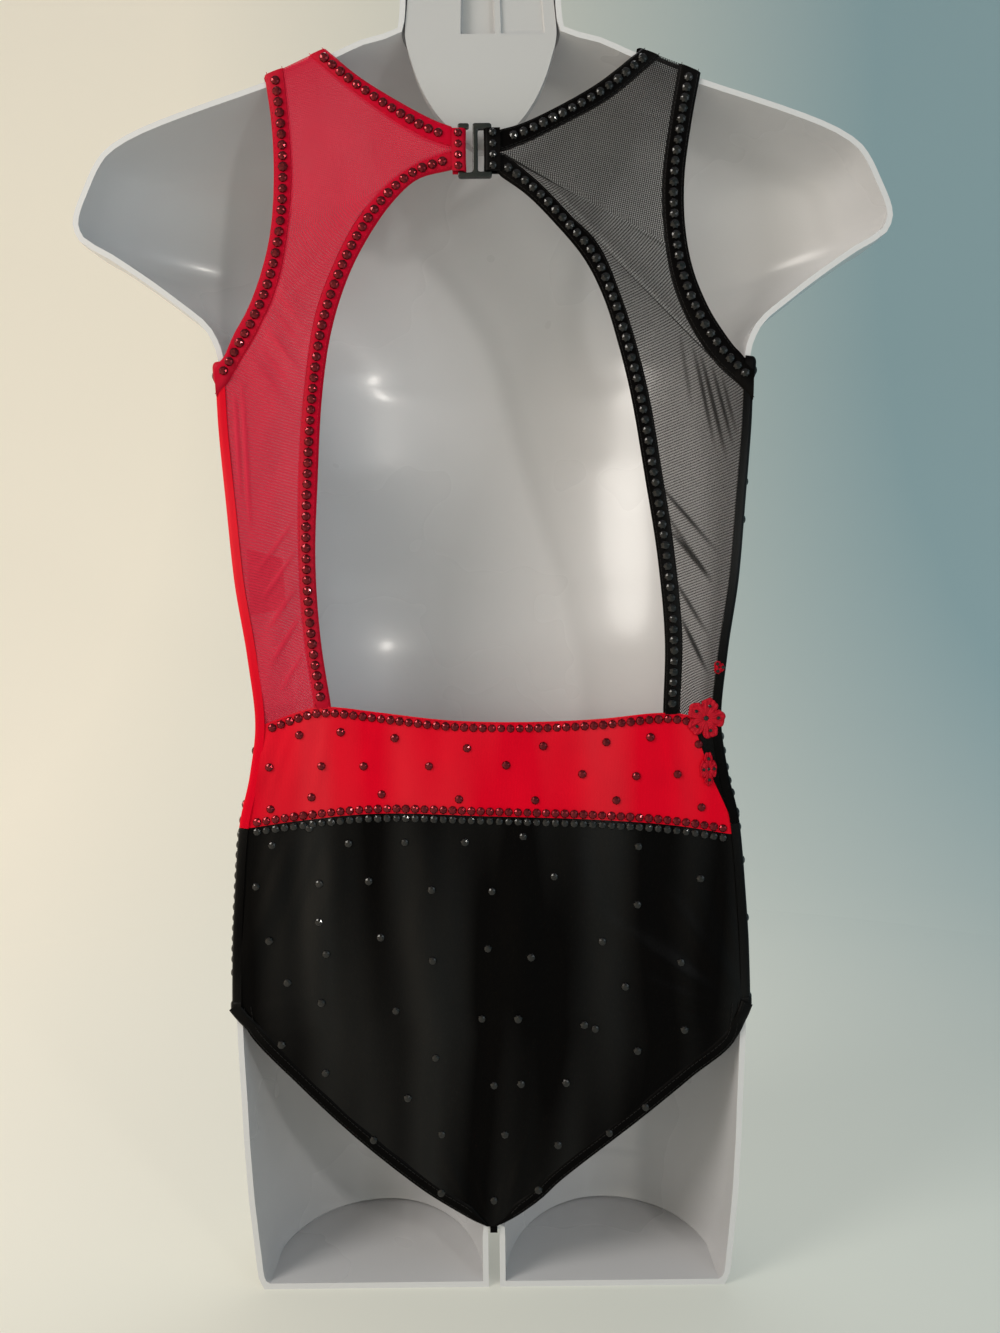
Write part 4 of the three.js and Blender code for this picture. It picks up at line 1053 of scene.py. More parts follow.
@dataclass
class TorsoForm:
    """The limbless display form: a hollow shell with closed thigh ends and a closed neck end."""

    finishes: Finishes
    columns: int = 40
    tallest_step: float = 5.0

    def heights(self) -> list[float]:
        """Heights of the rows: every row of the table and even steps between."""
        table = [float(row[0]) for row in FORM_ROWS]
        found = [table[0]]
        for low, high in zip(table, table[1:]):
            steps = max(1, math.ceil((high - low) / self.tallest_step))
            found += spread(low, high, steps)[1:]
        return found

    def places(self) -> list[float]:
        """Places p across the front, closer together at the rim."""
        found = [-CHANNEL_SHARE, -CHANNEL_SHARE / 2, 0.0, CHANNEL_SHARE / 2, CHANNEL_SHARE]
        for k in range(1, self.columns + 1):
            share = mix(1, CHANNEL_SHARE, (1 - k / self.columns) ** CROWDING)
            found = [-share, *found, share]
        return found

    def build(self) -> None:
        """The form."""
        places, heights = self.places(), self.heights()
        rows = [[SURFACE.point(p, z) for p in places] for z in heights]
        points: list[Vector] = []
        sums: list[Vector] = []
        known: dict[tuple[int, int, int], int] = {}
        faces: list[tuple[int, int, int]] = []

        def vertex(point: Vector) -> int:
            """Index of a point, shared with any that lies on it."""
            key = (round(point.x * 1000), round(point.y * 1000), round(point.z * 1000))
            if key not in known:
                known[key] = len(points)
                points.append(point)
                sums.append(Vector())
            return known[key]

        def face(a: int, b: int, c: int) -> None:
            """One triangle, unless it has no area."""
            if a == b or b == c or c == a:
                return
            faces.append((a, b, c))
            normal = (points[b] - points[a]).cross(points[c] - points[a])
            for k in (a, b, c):
                sums[k] += normal

        def strip(low: list[Vector], high: list[Vector], start: int, stop: int) -> None:
            """Triangles between two rows."""
            for k in range(start, stop):
                a, b, c, d = (vertex(q) for q in (low[k], low[k + 1], high[k + 1], high[k]))
                face(a, c, b)
                face(a, d, c)

        def flat(row: list[Vector]) -> list[Vector]:
            """The row pressed into the rim plane."""
            return [Vector((q.x, 0, q.z)) for q in row]

        crotch = heights.index(CROTCH_Z)
        last = len(places) - 1
        inner_right = self.columns + 4
        for start, stop in ((0, self.columns), (inner_right, last)):
            strip(flat(rows[0]), rows[0], start, stop)
            for r in range(crotch):
                strip(rows[r], rows[r + 1], start, stop)
        for r in range(crotch, len(rows) - 1):
            strip(rows[r], rows[r + 1], 0, last)
        strip(rows[-1], flat(rows[-1]), 0, last)

        ends = [(rows[0][0].x, rows[0][self.columns].x), (rows[0][inner_right].x, rows[0][last].x)]
        inside = []
        for point, total in zip(points, sums):
            out = total.copy()
            if abs(point.y) < 0.001:
                out.y = 0
            inner = point - out.normalized() * FORM_WALL
            if point.z < 0.001:
                low, high = ends[0] if point.x < AXIS_X else ends[1]
                inner.x = clamp(point.x, low + FORM_WALL, high - FORM_WALL)
                inner.z = FORM_WALL
            inside.append(inner)
        count = len(points)
        walls: list[tuple[int, ...]] = []
        edges = set()
        for a, b, c in faces:
            walls += [(a, b, c), (a + count, c + count, b + count)]
            edges |= {(a, b), (b, c), (c, a)}
        walls += [(a, a + count, b + count, b) for a, b in sorted(edges) if (b, a) not in edges]
        piece = MeshMaker.mesh("torso_form_shell", [to_row(q) for q in points + inside], walls)
        MeshMaker.face_out(piece)
        MeshMaker.smooth(piece, 42.0)
        dress(piece, self.finishes.form, "form_plastic", ["torso_form"])


@dataclass
class NeckPlate:
    """Flat plate in the form's neck, deeper towards its tip, with the pockets that it is hung by."""

    finishes: Finishes
    face: float = 1.0
    wall: float = 6.5
    tip: float = 5.0
    tip_run: float = 40.0
    pocket_z: float = 671.0
    edge: float = 0.02

    def depth(self, share: float, z: float) -> float:
        """Depth of the plate's face behind the rim plane.

        Args:
            share: place across, -1 to 1.
            z: height in mm.

        Returns:
            Depth in mm.
        """
        found = self.face + self.tip * (1 - eased(clamp((z - NECK_PLATE[0][0]) / self.tip_run, 0, 1)))
        up = eased(clamp(z - self.pocket_z, 0, 1))
        for start, stop, deep in POCKETS:
            found += deep * up * eased(clamp((share - start) / self.edge, 0, 1)) * eased(
                clamp((stop - share) / self.edge, 0, 1))
        return found

    def build(self) -> None:
        """The plate."""
        half = SmoothTable(NECK_PLATE)
        heights = spread(NECK_PLATE[0][0], self.pocket_z, 40) + spread(
            self.pocket_z + 0.25, self.pocket_z + 1, 3) + spread(self.pocket_z + 3, NECK_PLATE[-1][0], 12)
        shares = set(spread(-1, 1, 40))
        for start, stop, _ in POCKETS:
            shares |= {start + self.edge * t for t in spread(0, 1, 4)}
            shares |= {stop - self.edge * t for t in spread(0, 1, 4)}
        across = sorted(shares)
        grids = []
        for y_of in (self.depth, lambda _, z: self.depth(-1.0, z) + self.wall):
            grids.append([[Vector((AXIS_X + share * half(z), y_of(share, z), z)) for share in across]
                          for z in heights])
        piece = MeshMaker.shell("neck_plate_shell", *grids)
        dress(piece, self.finishes.plate, "form_plastic", ["neck_plate"])


Place = tuple[float, float, float]


@dataclass
class FrontCloth:
    """The front of the garment, which lies on the form and wraps round its rim."""

    finishes: Finishes
    lift: float = 1.5
    thickness: float = 0.9
    columns: int = 56
    wraps: tuple[float, ...] = (4, 3, 2, 1, 0.75, 0.5, 0.25)
    tight: float = 0.003
    rim_step: float = 0.0003
    # The inner face crosses the middle by this share, so that no light shows between the halves
    crossing: float = -0.4
    near_centre: float = CENTRE_SEAM * 1.01

    def grids(self, rows: list[list[Place]]) -> tuple[Grid, Grid]:
        """Outer and inner face from rows of places p, z and wrap."""
        faces = []
        for lift, meet in ((self.lift + self.thickness, 1.0), (self.lift, self.crossing)):
            faces.append([[SURFACE.cloth_point(p * meet if abs(p) < self.near_centre else p, z,
                                               lift + self.crease(p, z, wrap), wrap)
                           for p, z, wrap in row] for row in rows])
        return faces[0], faces[1]

    @staticmethod
    def crease(p: float, z: float, wrap: float) -> float:
        """Height of the soft creases that the hidden front has, like those behind.

        Args:
            p: place over the front.
            z: height in mm.
            wrap: share of the turn round the rim.

        Returns:
            Height in mm.
        """
        if wrap > 0:
            return 0.0
        soft, drawn, rim_run = 0.5, 0.35, 12
        broad = soft * noise.noise(Vector((p * 5.0, z / 70.0, 1.3)))
        fine = drawn * noise.noise(Vector((p * 16.0 + z / 90.0, z / 46.0, 7.1)))
        return (broad + fine) * min(1.0, (1 - abs(p)) * rim_run)

    def share(self, c: int) -> float:
        """Share across a row for a column, the first ones held tight together."""
        held = len(self.wraps)
        if c < held:
            return c * self.tight
        return mix(held * self.tight, 1, ((c - held) / self.columns) ** CROWDING)

    def bodice(self, half: Half) -> None:
        """One half of the front bodice.

        Args:
            half: colour half.
        """
        side, held = half.value, len(self.wraps)
        rows: list[list[Place]] = []
        for z in spread(WAIST_SEAM_Z + SEAM_HALF, UNDERARM_Z, 58):
            row: list[Place] = [(side, z, wrap) for wrap in self.wraps]
            for c in range(self.columns + 1):
                row.append((side * mix(1, CENTRE_SEAM, (c / self.columns) ** CROWDING), z, 0.0))
            rows.append(row)
        rim = [(p * (1 - min(c, held) * self.rim_step), UNDERARM_Z + SEAM_HALF, 0.0)
               for c, (p, _, _) in enumerate(rows[-1])]
        rows.append(rim)
        arm_steps, neck_steps = 60, 38
        arm = SURFACE.line_on(FRONT_ARM_INNER, arm_steps)
        neck = SURFACE.line_on(FRONT_NECK_INNER, neck_steps)
        centre = arm_steps - neck_steps
        neck = [(0.0, mix(UNDERARM_Z, FRONT_NECK_INNER[0][1], k / centre)) for k in range(centre)] + neck
        for r in range(1, arm_steps + 1):
            (arm_p, arm_z), (neck_p, neck_z) = arm[r], neck[r]
            shares = [self.share(c) for c in range(held + self.columns + 1)]
            rows.append([(side * max(CENTRE_SEAM, mix(arm_p, neck_p, t)), mix(arm_z, neck_z, t), 0.0)
                         for t in shares])
        outer, inner = self.grids(rows)
        piece = MeshMaker.shell(f"bodice_front_{half.suffix}", outer, inner)
        dress(piece, self.finishes.knit[half], half.slot("spandex"), [f"front_bodice_{half.suffix}"])

    def brief(self) -> Piece:
        """The front of the brief, from the waist seam to the crotch.

        Returns:
            The object.
        """
        held, half_count = len(self.wraps), self.columns
        across = [-(1 - (c / half_count) ** CROWDING) for c in range(half_count + 1)]
        across += [-value for value in reversed(across[:-1])]
        rows: list[list[Place]] = []
        for z in spread(WAIST_SEAM_Z - SEAM_HALF, HIP_Z, 26):
            row: list[Place] = [(-1.0, z, wrap) for wrap in self.wraps]
            row += [(p, z, 0.0) for p in across]
            row += [(1.0, z, wrap) for wrap in reversed(self.wraps)]
            rows.append(row)
        last = len(rows[0]) - 1
        rim = []
        for c, (p, _, _) in enumerate(rows[-1]):
            edge = min(c, last - c, held)
            rim.append((p * (1 - edge * self.rim_step), HIP_Z - SEAM_HALF, 0.0))
        rows.append(rim)
        shares = []
        for c in range(last + 1):
            edge = min(c, last - c)
            share = 1 - self.share(edge) if edge <= held + half_count else 0.0
            shares.append(-share if c < last / 2 else share)
        for p, z in list(reversed(SURFACE.line_on(BRIEF_LEG, 56)))[1:]:
            rows.append([(p * share, z, 0.0) for share in shares])
        outer, inner = self.grids(rows)
        piece = MeshMaker.shell("brief_front", outer, inner)
        return dress(piece, self.finishes.knit[Half.BLACK], "black_spandex", ["front_brief"])

    def gusset(self) -> None:
        """The strip under the crotch, from the brief round the form's edge to the seat."""
        path = even_points(curve_points(GUSSET_PATH), 30)

        def face(lift: float) -> Grid:
            """One face at a distance from the form."""
            line = []
            for z, half in path:
                rise = SURFACE.floor(z + 0.2) - SURFACE.floor(z - 0.2)
                out = Vector((0.4, -rise)).normalized()
                line.append((half, SURFACE.floor(z) + out.x * lift, z + out.y * lift))
            back_y = -BACK_CLEAR - lift + CLOTH_GAP
            line.append((1.9, back_y * 0.8, CROTCH_Z - lift * 0.6))
            line.append((1.9, back_y, 32.7))
            return [[Vector((AXIS_X + t * half, y, z)) for t in spread(-1, 1, 12)] for half, y, z in line]

        piece = MeshMaker.shell("gusset_strip", face(self.lift + self.thickness), face(self.lift))
        dress(piece, self.finishes.knit[Half.BLACK], "black_spandex", ["gusset"])


def side_line(side: int, from_z: float, to_z: float, count: int) -> Line:
    """Seam of the back with the side, just inside the silhouette."""
    return [(AXIS_X + side * (SURFACE.half(z) - SEAM_INSET), z) for z in spread(from_z, to_z, count)]


@dataclass
class BackLines:
    """Seam lines of one half of the back."""

    half: Half
    neck_steps: int = 48
    key_steps: int = 220
    arm_steps: int = 100
    neck_edge: Line = field(init=False)
    neck_inner: Line = field(init=False)
    key_edge: Line = field(init=False)
    key_inner: Line = field(init=False)
    arm_edge: Line = field(init=False)
    arm_inner: Line = field(init=False)

    def __post_init__(self) -> None:
        """Spread points along every line."""
        side = self.half.value
        neck_edge, neck_seam, key_seam, key_edge = CLOSURE_ENDS[side]
        foot_edge, foot_seam = (
            (line[-1][0], line[-1][1] - PIECE_FOOT) for line in (KEY_EDGE[side], KEY_INNER[side]))
        self.neck_edge = along_line(NECK_EDGE[side], self.neck_steps) + [neck_edge]
        self.neck_inner = along_line(NECK_INNER[side], self.neck_steps) + [neck_seam]
        self.key_edge = [key_edge] + along_line(KEY_EDGE[side], self.key_steps) + [foot_edge]
        self.key_inner = [key_seam] + along_line(KEY_INNER[side], self.key_steps) + [foot_seam]
        edge_end, seam_end = ARM_ENDS[side]
        self.arm_edge = along_line(ARM_EDGE[side] + (edge_end,), self.arm_steps)
        self.arm_inner = along_line(ARM_INNER[side] + (seam_end,), self.arm_steps)
    def pairs(self) -> tuple[tuple[Line, Line], ...]:
        """Free edge and seam of the neck, the keyhole and the armhole binding."""
        return ((self.neck_edge, self.neck_inner), (self.key_edge, self.key_inner),
                (self.arm_edge, self.arm_inner))

    def net_sides(self) -> tuple[Line, Line]:
        """Inner and outer line of the net, point for point."""
        inner = self.neck_inner + self.key_inner
        side = self.half.value
        corner = ARM_INNER[side][-1][1]
        arm = [place for place in self.arm_inner if place[1] > corner]
        steps = len(inner) - len(arm) - 1
        return inner, arm + side_line(side, corner - 1.5, MESH_FOOT[side], steps)


@dataclass
class StonePlaces:
    """Where the stones of one colour sit: rows to follow and single places."""

    half: Half
    rows: list[tuple[list[tuple[Vector, Vector]], float, float]] = field(default_factory=list)
    singles: list[tuple[Vector, Vector, float]] = field(default_factory=list)

    def row(self, path: list[tuple[Vector, Vector]], pitch: float, size: float) -> None:
        """Stones along a path of points and outward directions."""
        self.rows.append((path, pitch, size))

    def single(self, point: Vector, out: Vector, size: float) -> None:
        """One stone."""
        self.singles.append((point, out, size))


BACKWARD = Vector((0, -1, 0))


def back_path(line: Line, folds: Sequence[Fold], lift: float) -> list[tuple[Vector, Vector]]:
    """Path on the outer face of the back.

    Args:
        line: x and z along it.
        folds: folds of the cloth below.
        lift: distance out from the cloth's inner face.

    Returns:
        Points with their outward direction.
    """
    return [(Vector((x, back_inner(folds, x, z) - lift, z)), BACKWARD) for x, z in line]


def widened(line_a: Line, line_b: Line, by: float) -> tuple[Line, Line]:
    """Both lines moved away from each other, so that the cloth between them tucks under its edges."""
    first, second = [], []
    for a, b in zip(line_a, line_b):
        run = math.hypot(b[0] - a[0], b[1] - a[1]) or 1.0
        step = ((b[0] - a[0]) * by / run, (b[1] - a[1]) * by / run)
        first.append((a[0] - step[0], a[1] - step[1]))
        second.append((b[0] + step[0], b[1] + step[1]))
    return first, second


BAND_EDGE = SmoothTable(BAND_TOP)


def side_rise(x: float) -> float:
    """How much higher a binding of the back lies where it covers the front's turned end."""
    rise, starts_at, run = 1.1, 133.5, 3
    return rise * eased(clamp((abs(x - AXIS_X) - starts_at) / run, 0, 1))


def over_band(x: float, z: float, run: float) -> float:
    """Share of a piece's height that is left where it sinks behind the waistband."""
    return eased(clamp((z - BAND_EDGE(x) + 0.5) / run, 0, 1))


def between(line_a: Line, line_b: Line, share: float) -> Line:
    """Line between two others, point for point."""
    return [(mix(a[0], b[0], share), mix(a[1], b[1], share)) for a, b in zip(line_a, line_b)]


def round_shares(count: int) -> list[float]:
    """Shares across a strip, closer together at its edges."""
    return [(1 - math.cos(math.pi * k / count)) / 2 for k in range(count + 1)]


def crown(t: float) -> float:
    """Share of a binding's thickness at a share across it: round edges and a full middle."""
    edge, power = 0.3, 5
    return edge + (1 - edge) * (1 - abs(2 * t - 1) ** power)


def moved_in(line: Line, side: int, widest: float, least: float, share: float) -> Line:
    """Leg line moved up and in, less where it nears the middle.

    Args:
        line: leg line from the side to the crotch.
        side: side of the garment.
        widest: greatest width in mm.
        least: smallest width in mm.
        share: width as a share of the distance from the middle.

    Returns:
        The moved line.
    """
    found = []
    for k, (x, z) in enumerate(line):
        before, after = line[max(0, k - 1)], line[min(len(line) - 1, k + 1)]
        run = Vector((after[0] - before[0], after[1] - before[1])).normalized()
        wide = min(widest, max(least, share * abs(x - AXIS_X)))
        found.append((x - side * abs(run.y) * wide, z + abs(run.x) * wide))
    return found


# Steps across a binding
BINDING_COLUMNS = 14


@dataclass
class BackCloth:
    """The back of the garment: nets, bindings, waistband and seat, stretched over the open form."""

    finishes: Finishes
    net_thickness: float = 0.35
    cloth_thickness: float = 0.9
    binding_thickness: float = 2.0
    net_columns: int = 72
    # The net's weave closes on folds narrower than this, fully where they are this high
    fine_width: float = 2.5
    full_fold: float = 0.5
    fold_power: float = 1.6

    @staticmethod
    def ruled(line_a: Line, line_b: Line, shares: Sequence[float], folds: Sequence[Fold],
              lift: Callable[[float, float, float], float]) -> Grid:
        """Grid between two lines.

        Args:
            line_a: first line.
            line_b: second line, point for point.
            shares: shares across.
            folds: folds of the cloth.
            lift: distance out from the inner face for a share, x and z.

        Returns:
            The grid of points.
        """
        grid = []
        for a, b in zip(line_a, line_b):
            row = []
            for t in shares:
                x, z = mix(a[0], b[0], t), mix(a[1], b[1], t)
                row.append(Vector((x, back_inner(folds, x, z) - lift(t, x, z), z)))
            grid.append(row)
        return grid

    def net(self, lines: BackLines) -> Piece:
        """One sheer net panel.

        Args:
            lines: seam lines of its half.

        Returns:
            The object.
        """
        half = lines.half
        folds = NET_FOLDS[half]
        inner_line, outer_line = widened(*lines.net_sides(), TUCK)
        shares = spread(0, 1, self.net_columns)

        def low(t: float, x: float, z: float) -> float:
            """Inner face of the net over the plane, sunk behind the waistband at its foot."""
            return mix(0.1, 0.5 * self.binding_thickness + ripple(x, z, 16, 0.25), over_band(x, z, 9))

        outer = self.ruled(inner_line, outer_line, shares, folds,
                           lambda t, x, z: low(t, x, z) + self.net_thickness)
        inner = self.ruled(inner_line, outer_line, shares, folds, low)
        fine = [fold for fold in folds if fold.wide < self.fine_width]
        deep = [clamp(fold_height(fine, q.x, q.z) / self.full_fold, 0, 1) ** self.fold_power
                for row in outer for q in row]
        piece = MeshMaker.shell(f"net_back_{half.suffix}", outer, inner, masks={"fold": deep})
        dress(piece, self.finishes.net[half], half.slot("net"), [f"back_mesh_{half.suffix}"])
        return piece

    def binding(self, name: str, node: str, edge: Line, seam: Line, half: Half) -> Piece:
        """One rounded binding strip of the back.

        Args:
            name: piece name.
            node: solid that it stands for.
            edge: free edge.
            seam: line where the net starts.
            half: colour half.

        Returns:
            The object.
        """
        folds = NET_FOLDS[half]
        shares = round_shares(BINDING_COLUMNS)

        def raised(t: float, x: float, z: float) -> float:
            """Rounded strip with a slight pucker."""
            pucker = 0.12 * noise.noise(Vector((x / 4, z / 4, 2)))
            return mix(0.5, self.binding_thickness * crown(t) + pucker, over_band(x, z, 3)) + side_rise(x)

        outer = self.ruled(edge, seam, shares, folds, raised)
        inner = self.ruled(edge, seam, shares, folds, lambda t, x, z: 0.0)
        piece = MeshMaker.shell(name, outer, inner)
        return dress(piece, self.finishes.binding[half], half.slot("binding"), [node])

    @staticmethod
    def panel(top: Line, bottom: Line, left: Line, right: Line, folds: Sequence[Fold],
              thickness: float, tall: float) -> tuple[Grid, Grid]:
        """Panel filled in between its four lines.

        Args:
            top: upper line.
            bottom: lower line.
            left: left line.
            right: right line.
            folds: folds of the cloth.
            thickness: cloth thickness in mm.
            tall: height of the slight unevenness in mm.

        Returns:
            Outer and inner grid.
        """
        rows, cols = len(left) - 1, len(top) - 1
        outer, inner = [], []
        for r in range(rows + 1):
            v = r / rows
            outer_row, inner_row = [], []
            for c in range(cols + 1):
                u = c / cols
                place = []
                for axis in (0, 1):
                    ruled = mix(top[c][axis], bottom[c][axis], v) + mix(left[r][axis], right[r][axis], u)
                    upper = mix(top[0][axis], top[cols][axis], u)
                    lower = mix(bottom[0][axis], bottom[cols][axis], u)
                    place.append(ruled - mix(upper, lower, v))
                x, z = place
                edge = min(1.0, 12 * min(u, 1 - u), 12 * min(v, 1 - v) + 0.2)
                y = back_inner(folds, x, z) - max(-BACK_CLEAR / 2, edge * ripple(x, z, 13, tall))
                inner_row.append(Vector((x, y, z)))
                outer_row.append(Vector((x, y - thickness, z)))
            outer.append(outer_row)
            inner.append(inner_row)
        return outer, inner

    def waistband(self) -> None:
        """The red waistband; its ends follow the side seams."""
        cols, rows = 150, 36
        top, bottom = along_line(BAND_TOP, cols), along_line(BAND_BOTTOM, cols)
        left = side_line(-1, top[0][1], bottom[0][1], rows)
        right = side_line(1, top[-1][1], bottom[-1][1], rows)
        top[0], top[-1], bottom[0], bottom[-1] = left[0], right[0], left[-1], right[-1]
        outer, inner = self.panel(top, bottom, left, right, BAND_FOLDS, self.cloth_thickness, 0.5)
        piece = MeshMaker.shell("waistband", outer, inner)
        dress(piece, self.finishes.knit[Half.RED], "red_spandex", ["waistband_back"])
        self.wedge()

    def wedge(self) -> Piece:
        """Black side cloth that runs on over the waistband's right end.

        Returns:
            The object.
        """
        steps = 60
        edge = along_line(WEDGE_EDGE, steps)
        side = side_line(1, edge[0][1], edge[-1][1], steps)
        low = self.cloth_thickness - 0.1
        shares = spread(0, 1, 16)
        outer = self.ruled(edge, side, shares, BAND_FOLDS,
                           lambda t, x, z: low + 0.55 * min(1.0, 0.4 + 6 * t))
        inner = self.ruled(edge, side, shares, BAND_FOLDS, lambda t, x, z: low)
        piece = MeshMaker.shell("side_wedge", outer, inner)
        return dress(piece, self.finishes.knit[Half.BLACK], "black_spandex")

    def seat(self) -> Piece:
        """The black seat, from the waistband to the crotch.

        Returns:
            The object.
        """
        cols, side_rows, leg_rows = 150, 44, 96
        top = along_line(BAND_BOTTOM, cols)
        sides = []
        for side, start in ((-1, top[0][1]), (1, top[-1][1])):
            leg = along_line(LEG_EDGE[side], leg_rows)
            sides.append(side_line(side, start, leg[0][1], side_rows)[:-1] + leg)
        left, right = sides
        top[0], top[-1] = left[0], right[0]
        bottom = [(mix(left[-1][0], right[-1][0], c / cols), mix(left[-1][1], right[-1][1], c / cols))
                  for c in range(cols + 1)]
        outer, inner = self.panel(top, bottom, left, right, SEAT_FOLDS, self.cloth_thickness, 0.8)
        piece = MeshMaker.shell("seat", outer, inner)
        dress(piece, self.finishes.knit[Half.BLACK], "black_spandex", ["seat_back"])
        return piece

    def leg_hem(self, half: Half) -> Piece:
        """The turned edge of a leg opening.

        Args:
            half: colour half, for its side.

        Returns:
            The object.
        """
        leg = along_line(HEM_START[half.value] + LEG_EDGE[half.value][1:], 120)
        inner_line = moved_in(leg, half.value, 6.5, 0.7, 0.45)
        shares = round_shares(10)
        low, tall, step, step_from, step_run = self.cloth_thickness, 0.75, 0.95, 139, 8

        def rise(z: float) -> float:
            """Step up on to the front's turned edge."""
            return step * eased(clamp((z - step_from) / step_run, 0, 1))

        def roll(t: float, _: float, z: float) -> float:
            """Rounded edge over the cloth."""
            return low + tall * (1 - abs(2 * t - 1) ** 4) - 0.1 + rise(z)

        outer = self.ruled(leg, inner_line, shares, SEAT_FOLDS, roll)
        inner = self.ruled(leg, inner_line, shares, SEAT_FOLDS, lambda t, x, z: low - 0.35 + rise(z))
        piece = MeshMaker.shell(f"leg_hem_{half.suffix}", outer, inner)
        return dress(piece, self.finishes.knit[Half.BLACK], "black_spandex")


# Where the leg hems of the back start on the side, above the leg line: x, z
HEM_START = {-1: ((-138.4, 150.2), (-134.6, 145.4)), 1: ((140.6, 150.2), (137.2, 142.2))}

# Flowers at the right side: place, half width, half height, petals
FLOWERS = (
    ("flower_1", 117.4, 303, 10.4, 11, 5), ("flower_2", 124.6, 330, 3, 3.6, 3),
    ("flower_3", 118.4, 276, 4.6, 9, 4),
)


@dataclass
class Flowers:
    """Embroidered flower appliques, raised from the cloth at the right side."""

    finishes: Finishes
    seat: float = 1.1
    height: float = 3.2
    rings: int = 16
    steps_a_petal: int = 24
    # Outline: reach between petals, what a petal adds, its small waves and how many there are
    least_reach: float = 0.66
    petal_reach: float = 0.34
    wave: float = 0.03
    waves: int = 11
    vein: float = 0.16
    # Relief: start and swell of the dome, weight of the veins, ruffles, the raised brim and its place
    dome_start: float = 0.28
    swell: float = 0.4
    vein_weight: float = 1.6
    ruffle: float = 0.10
    brim: float = 0.3
    brim_place: float = 0.9
    brim_width: float = 0.08
    # Small stones: share of a petal's reach, share of the relief in the middle and on a petal
    stone_reach: float = 0.62
    middle_rise: float = 0.34
    petal_rise: float = 0.72

    def build(self, stones: StonePlaces) -> None:
        """All flowers and the small stones on them.

        Args:
            stones: gathers the stones.
        """
        folds = (*BAND_FOLDS[:3], *NET_FOLDS[Half.BLACK][:4])
        for node, x, z, wide, tall, petals in FLOWERS:
            grids: list[Grid] = []
            around = petals * self.steps_a_petal
            for raised in (True, False):
                grid = []
                for k in range(around):
                    angle = 2 * math.pi * k / around
                    petal = abs(math.cos(petals * angle / 2)) ** 0.5
                    lobe = (self.least_reach + self.petal_reach * petal
                            + self.wave * math.sin(self.waves * angle))
                    vein = self.vein * abs(math.sin(petals * angle / 2 + math.pi / 2)) ** 8
                    row = []
                    for ring in spread(0.06, 1, self.rings):
                        px = x + wide * ring * lobe * math.cos(angle)
                        pz = z + tall * ring * lobe * math.sin(angle)
                        dome = 0.0
                        if raised:
                            ruffle = self.ruffle * math.sin(angle * petals * 5) * ring
                            brim = self.brim * math.exp(-((ring - self.brim_place) / self.brim_width) ** 2)
                            swell = self.swell * math.sin(math.pi * min(1, ring * 1.1))
                            dome = self.height * (self.dome_start + swell - self.vein_weight * vein * ring
                                                  + ruffle + brim)
                        row.append(Vector((px, back_inner(folds, px, pz) - self.seat - max(0, dome), pz)))
                    grid.append(row)
                grids.append(grid)
            piece = MeshMaker.shell(f"{node}_applique", *grids, ring=True)
            dress(piece, self.finishes.applique, "applique", [node])
            top = back_inner(folds, x, z) - self.seat - self.height * self.middle_rise
            stones.single(Vector((x, top, z)), BACKWARD, 3.0 if wide > 5 else 2.2)
            for k in range(petals):
                angle = 2 * math.pi * (k + 0.02) / petals
                px = x + self.stone_reach * wide * math.cos(angle)
                pz = z + self.stone_reach * tall * math.sin(angle)
                lift = self.seat + self.height * self.petal_rise
                stones.single(Vector((px, back_inner(folds, px, pz) - lift, pz)), BACKWARD, 1.9)


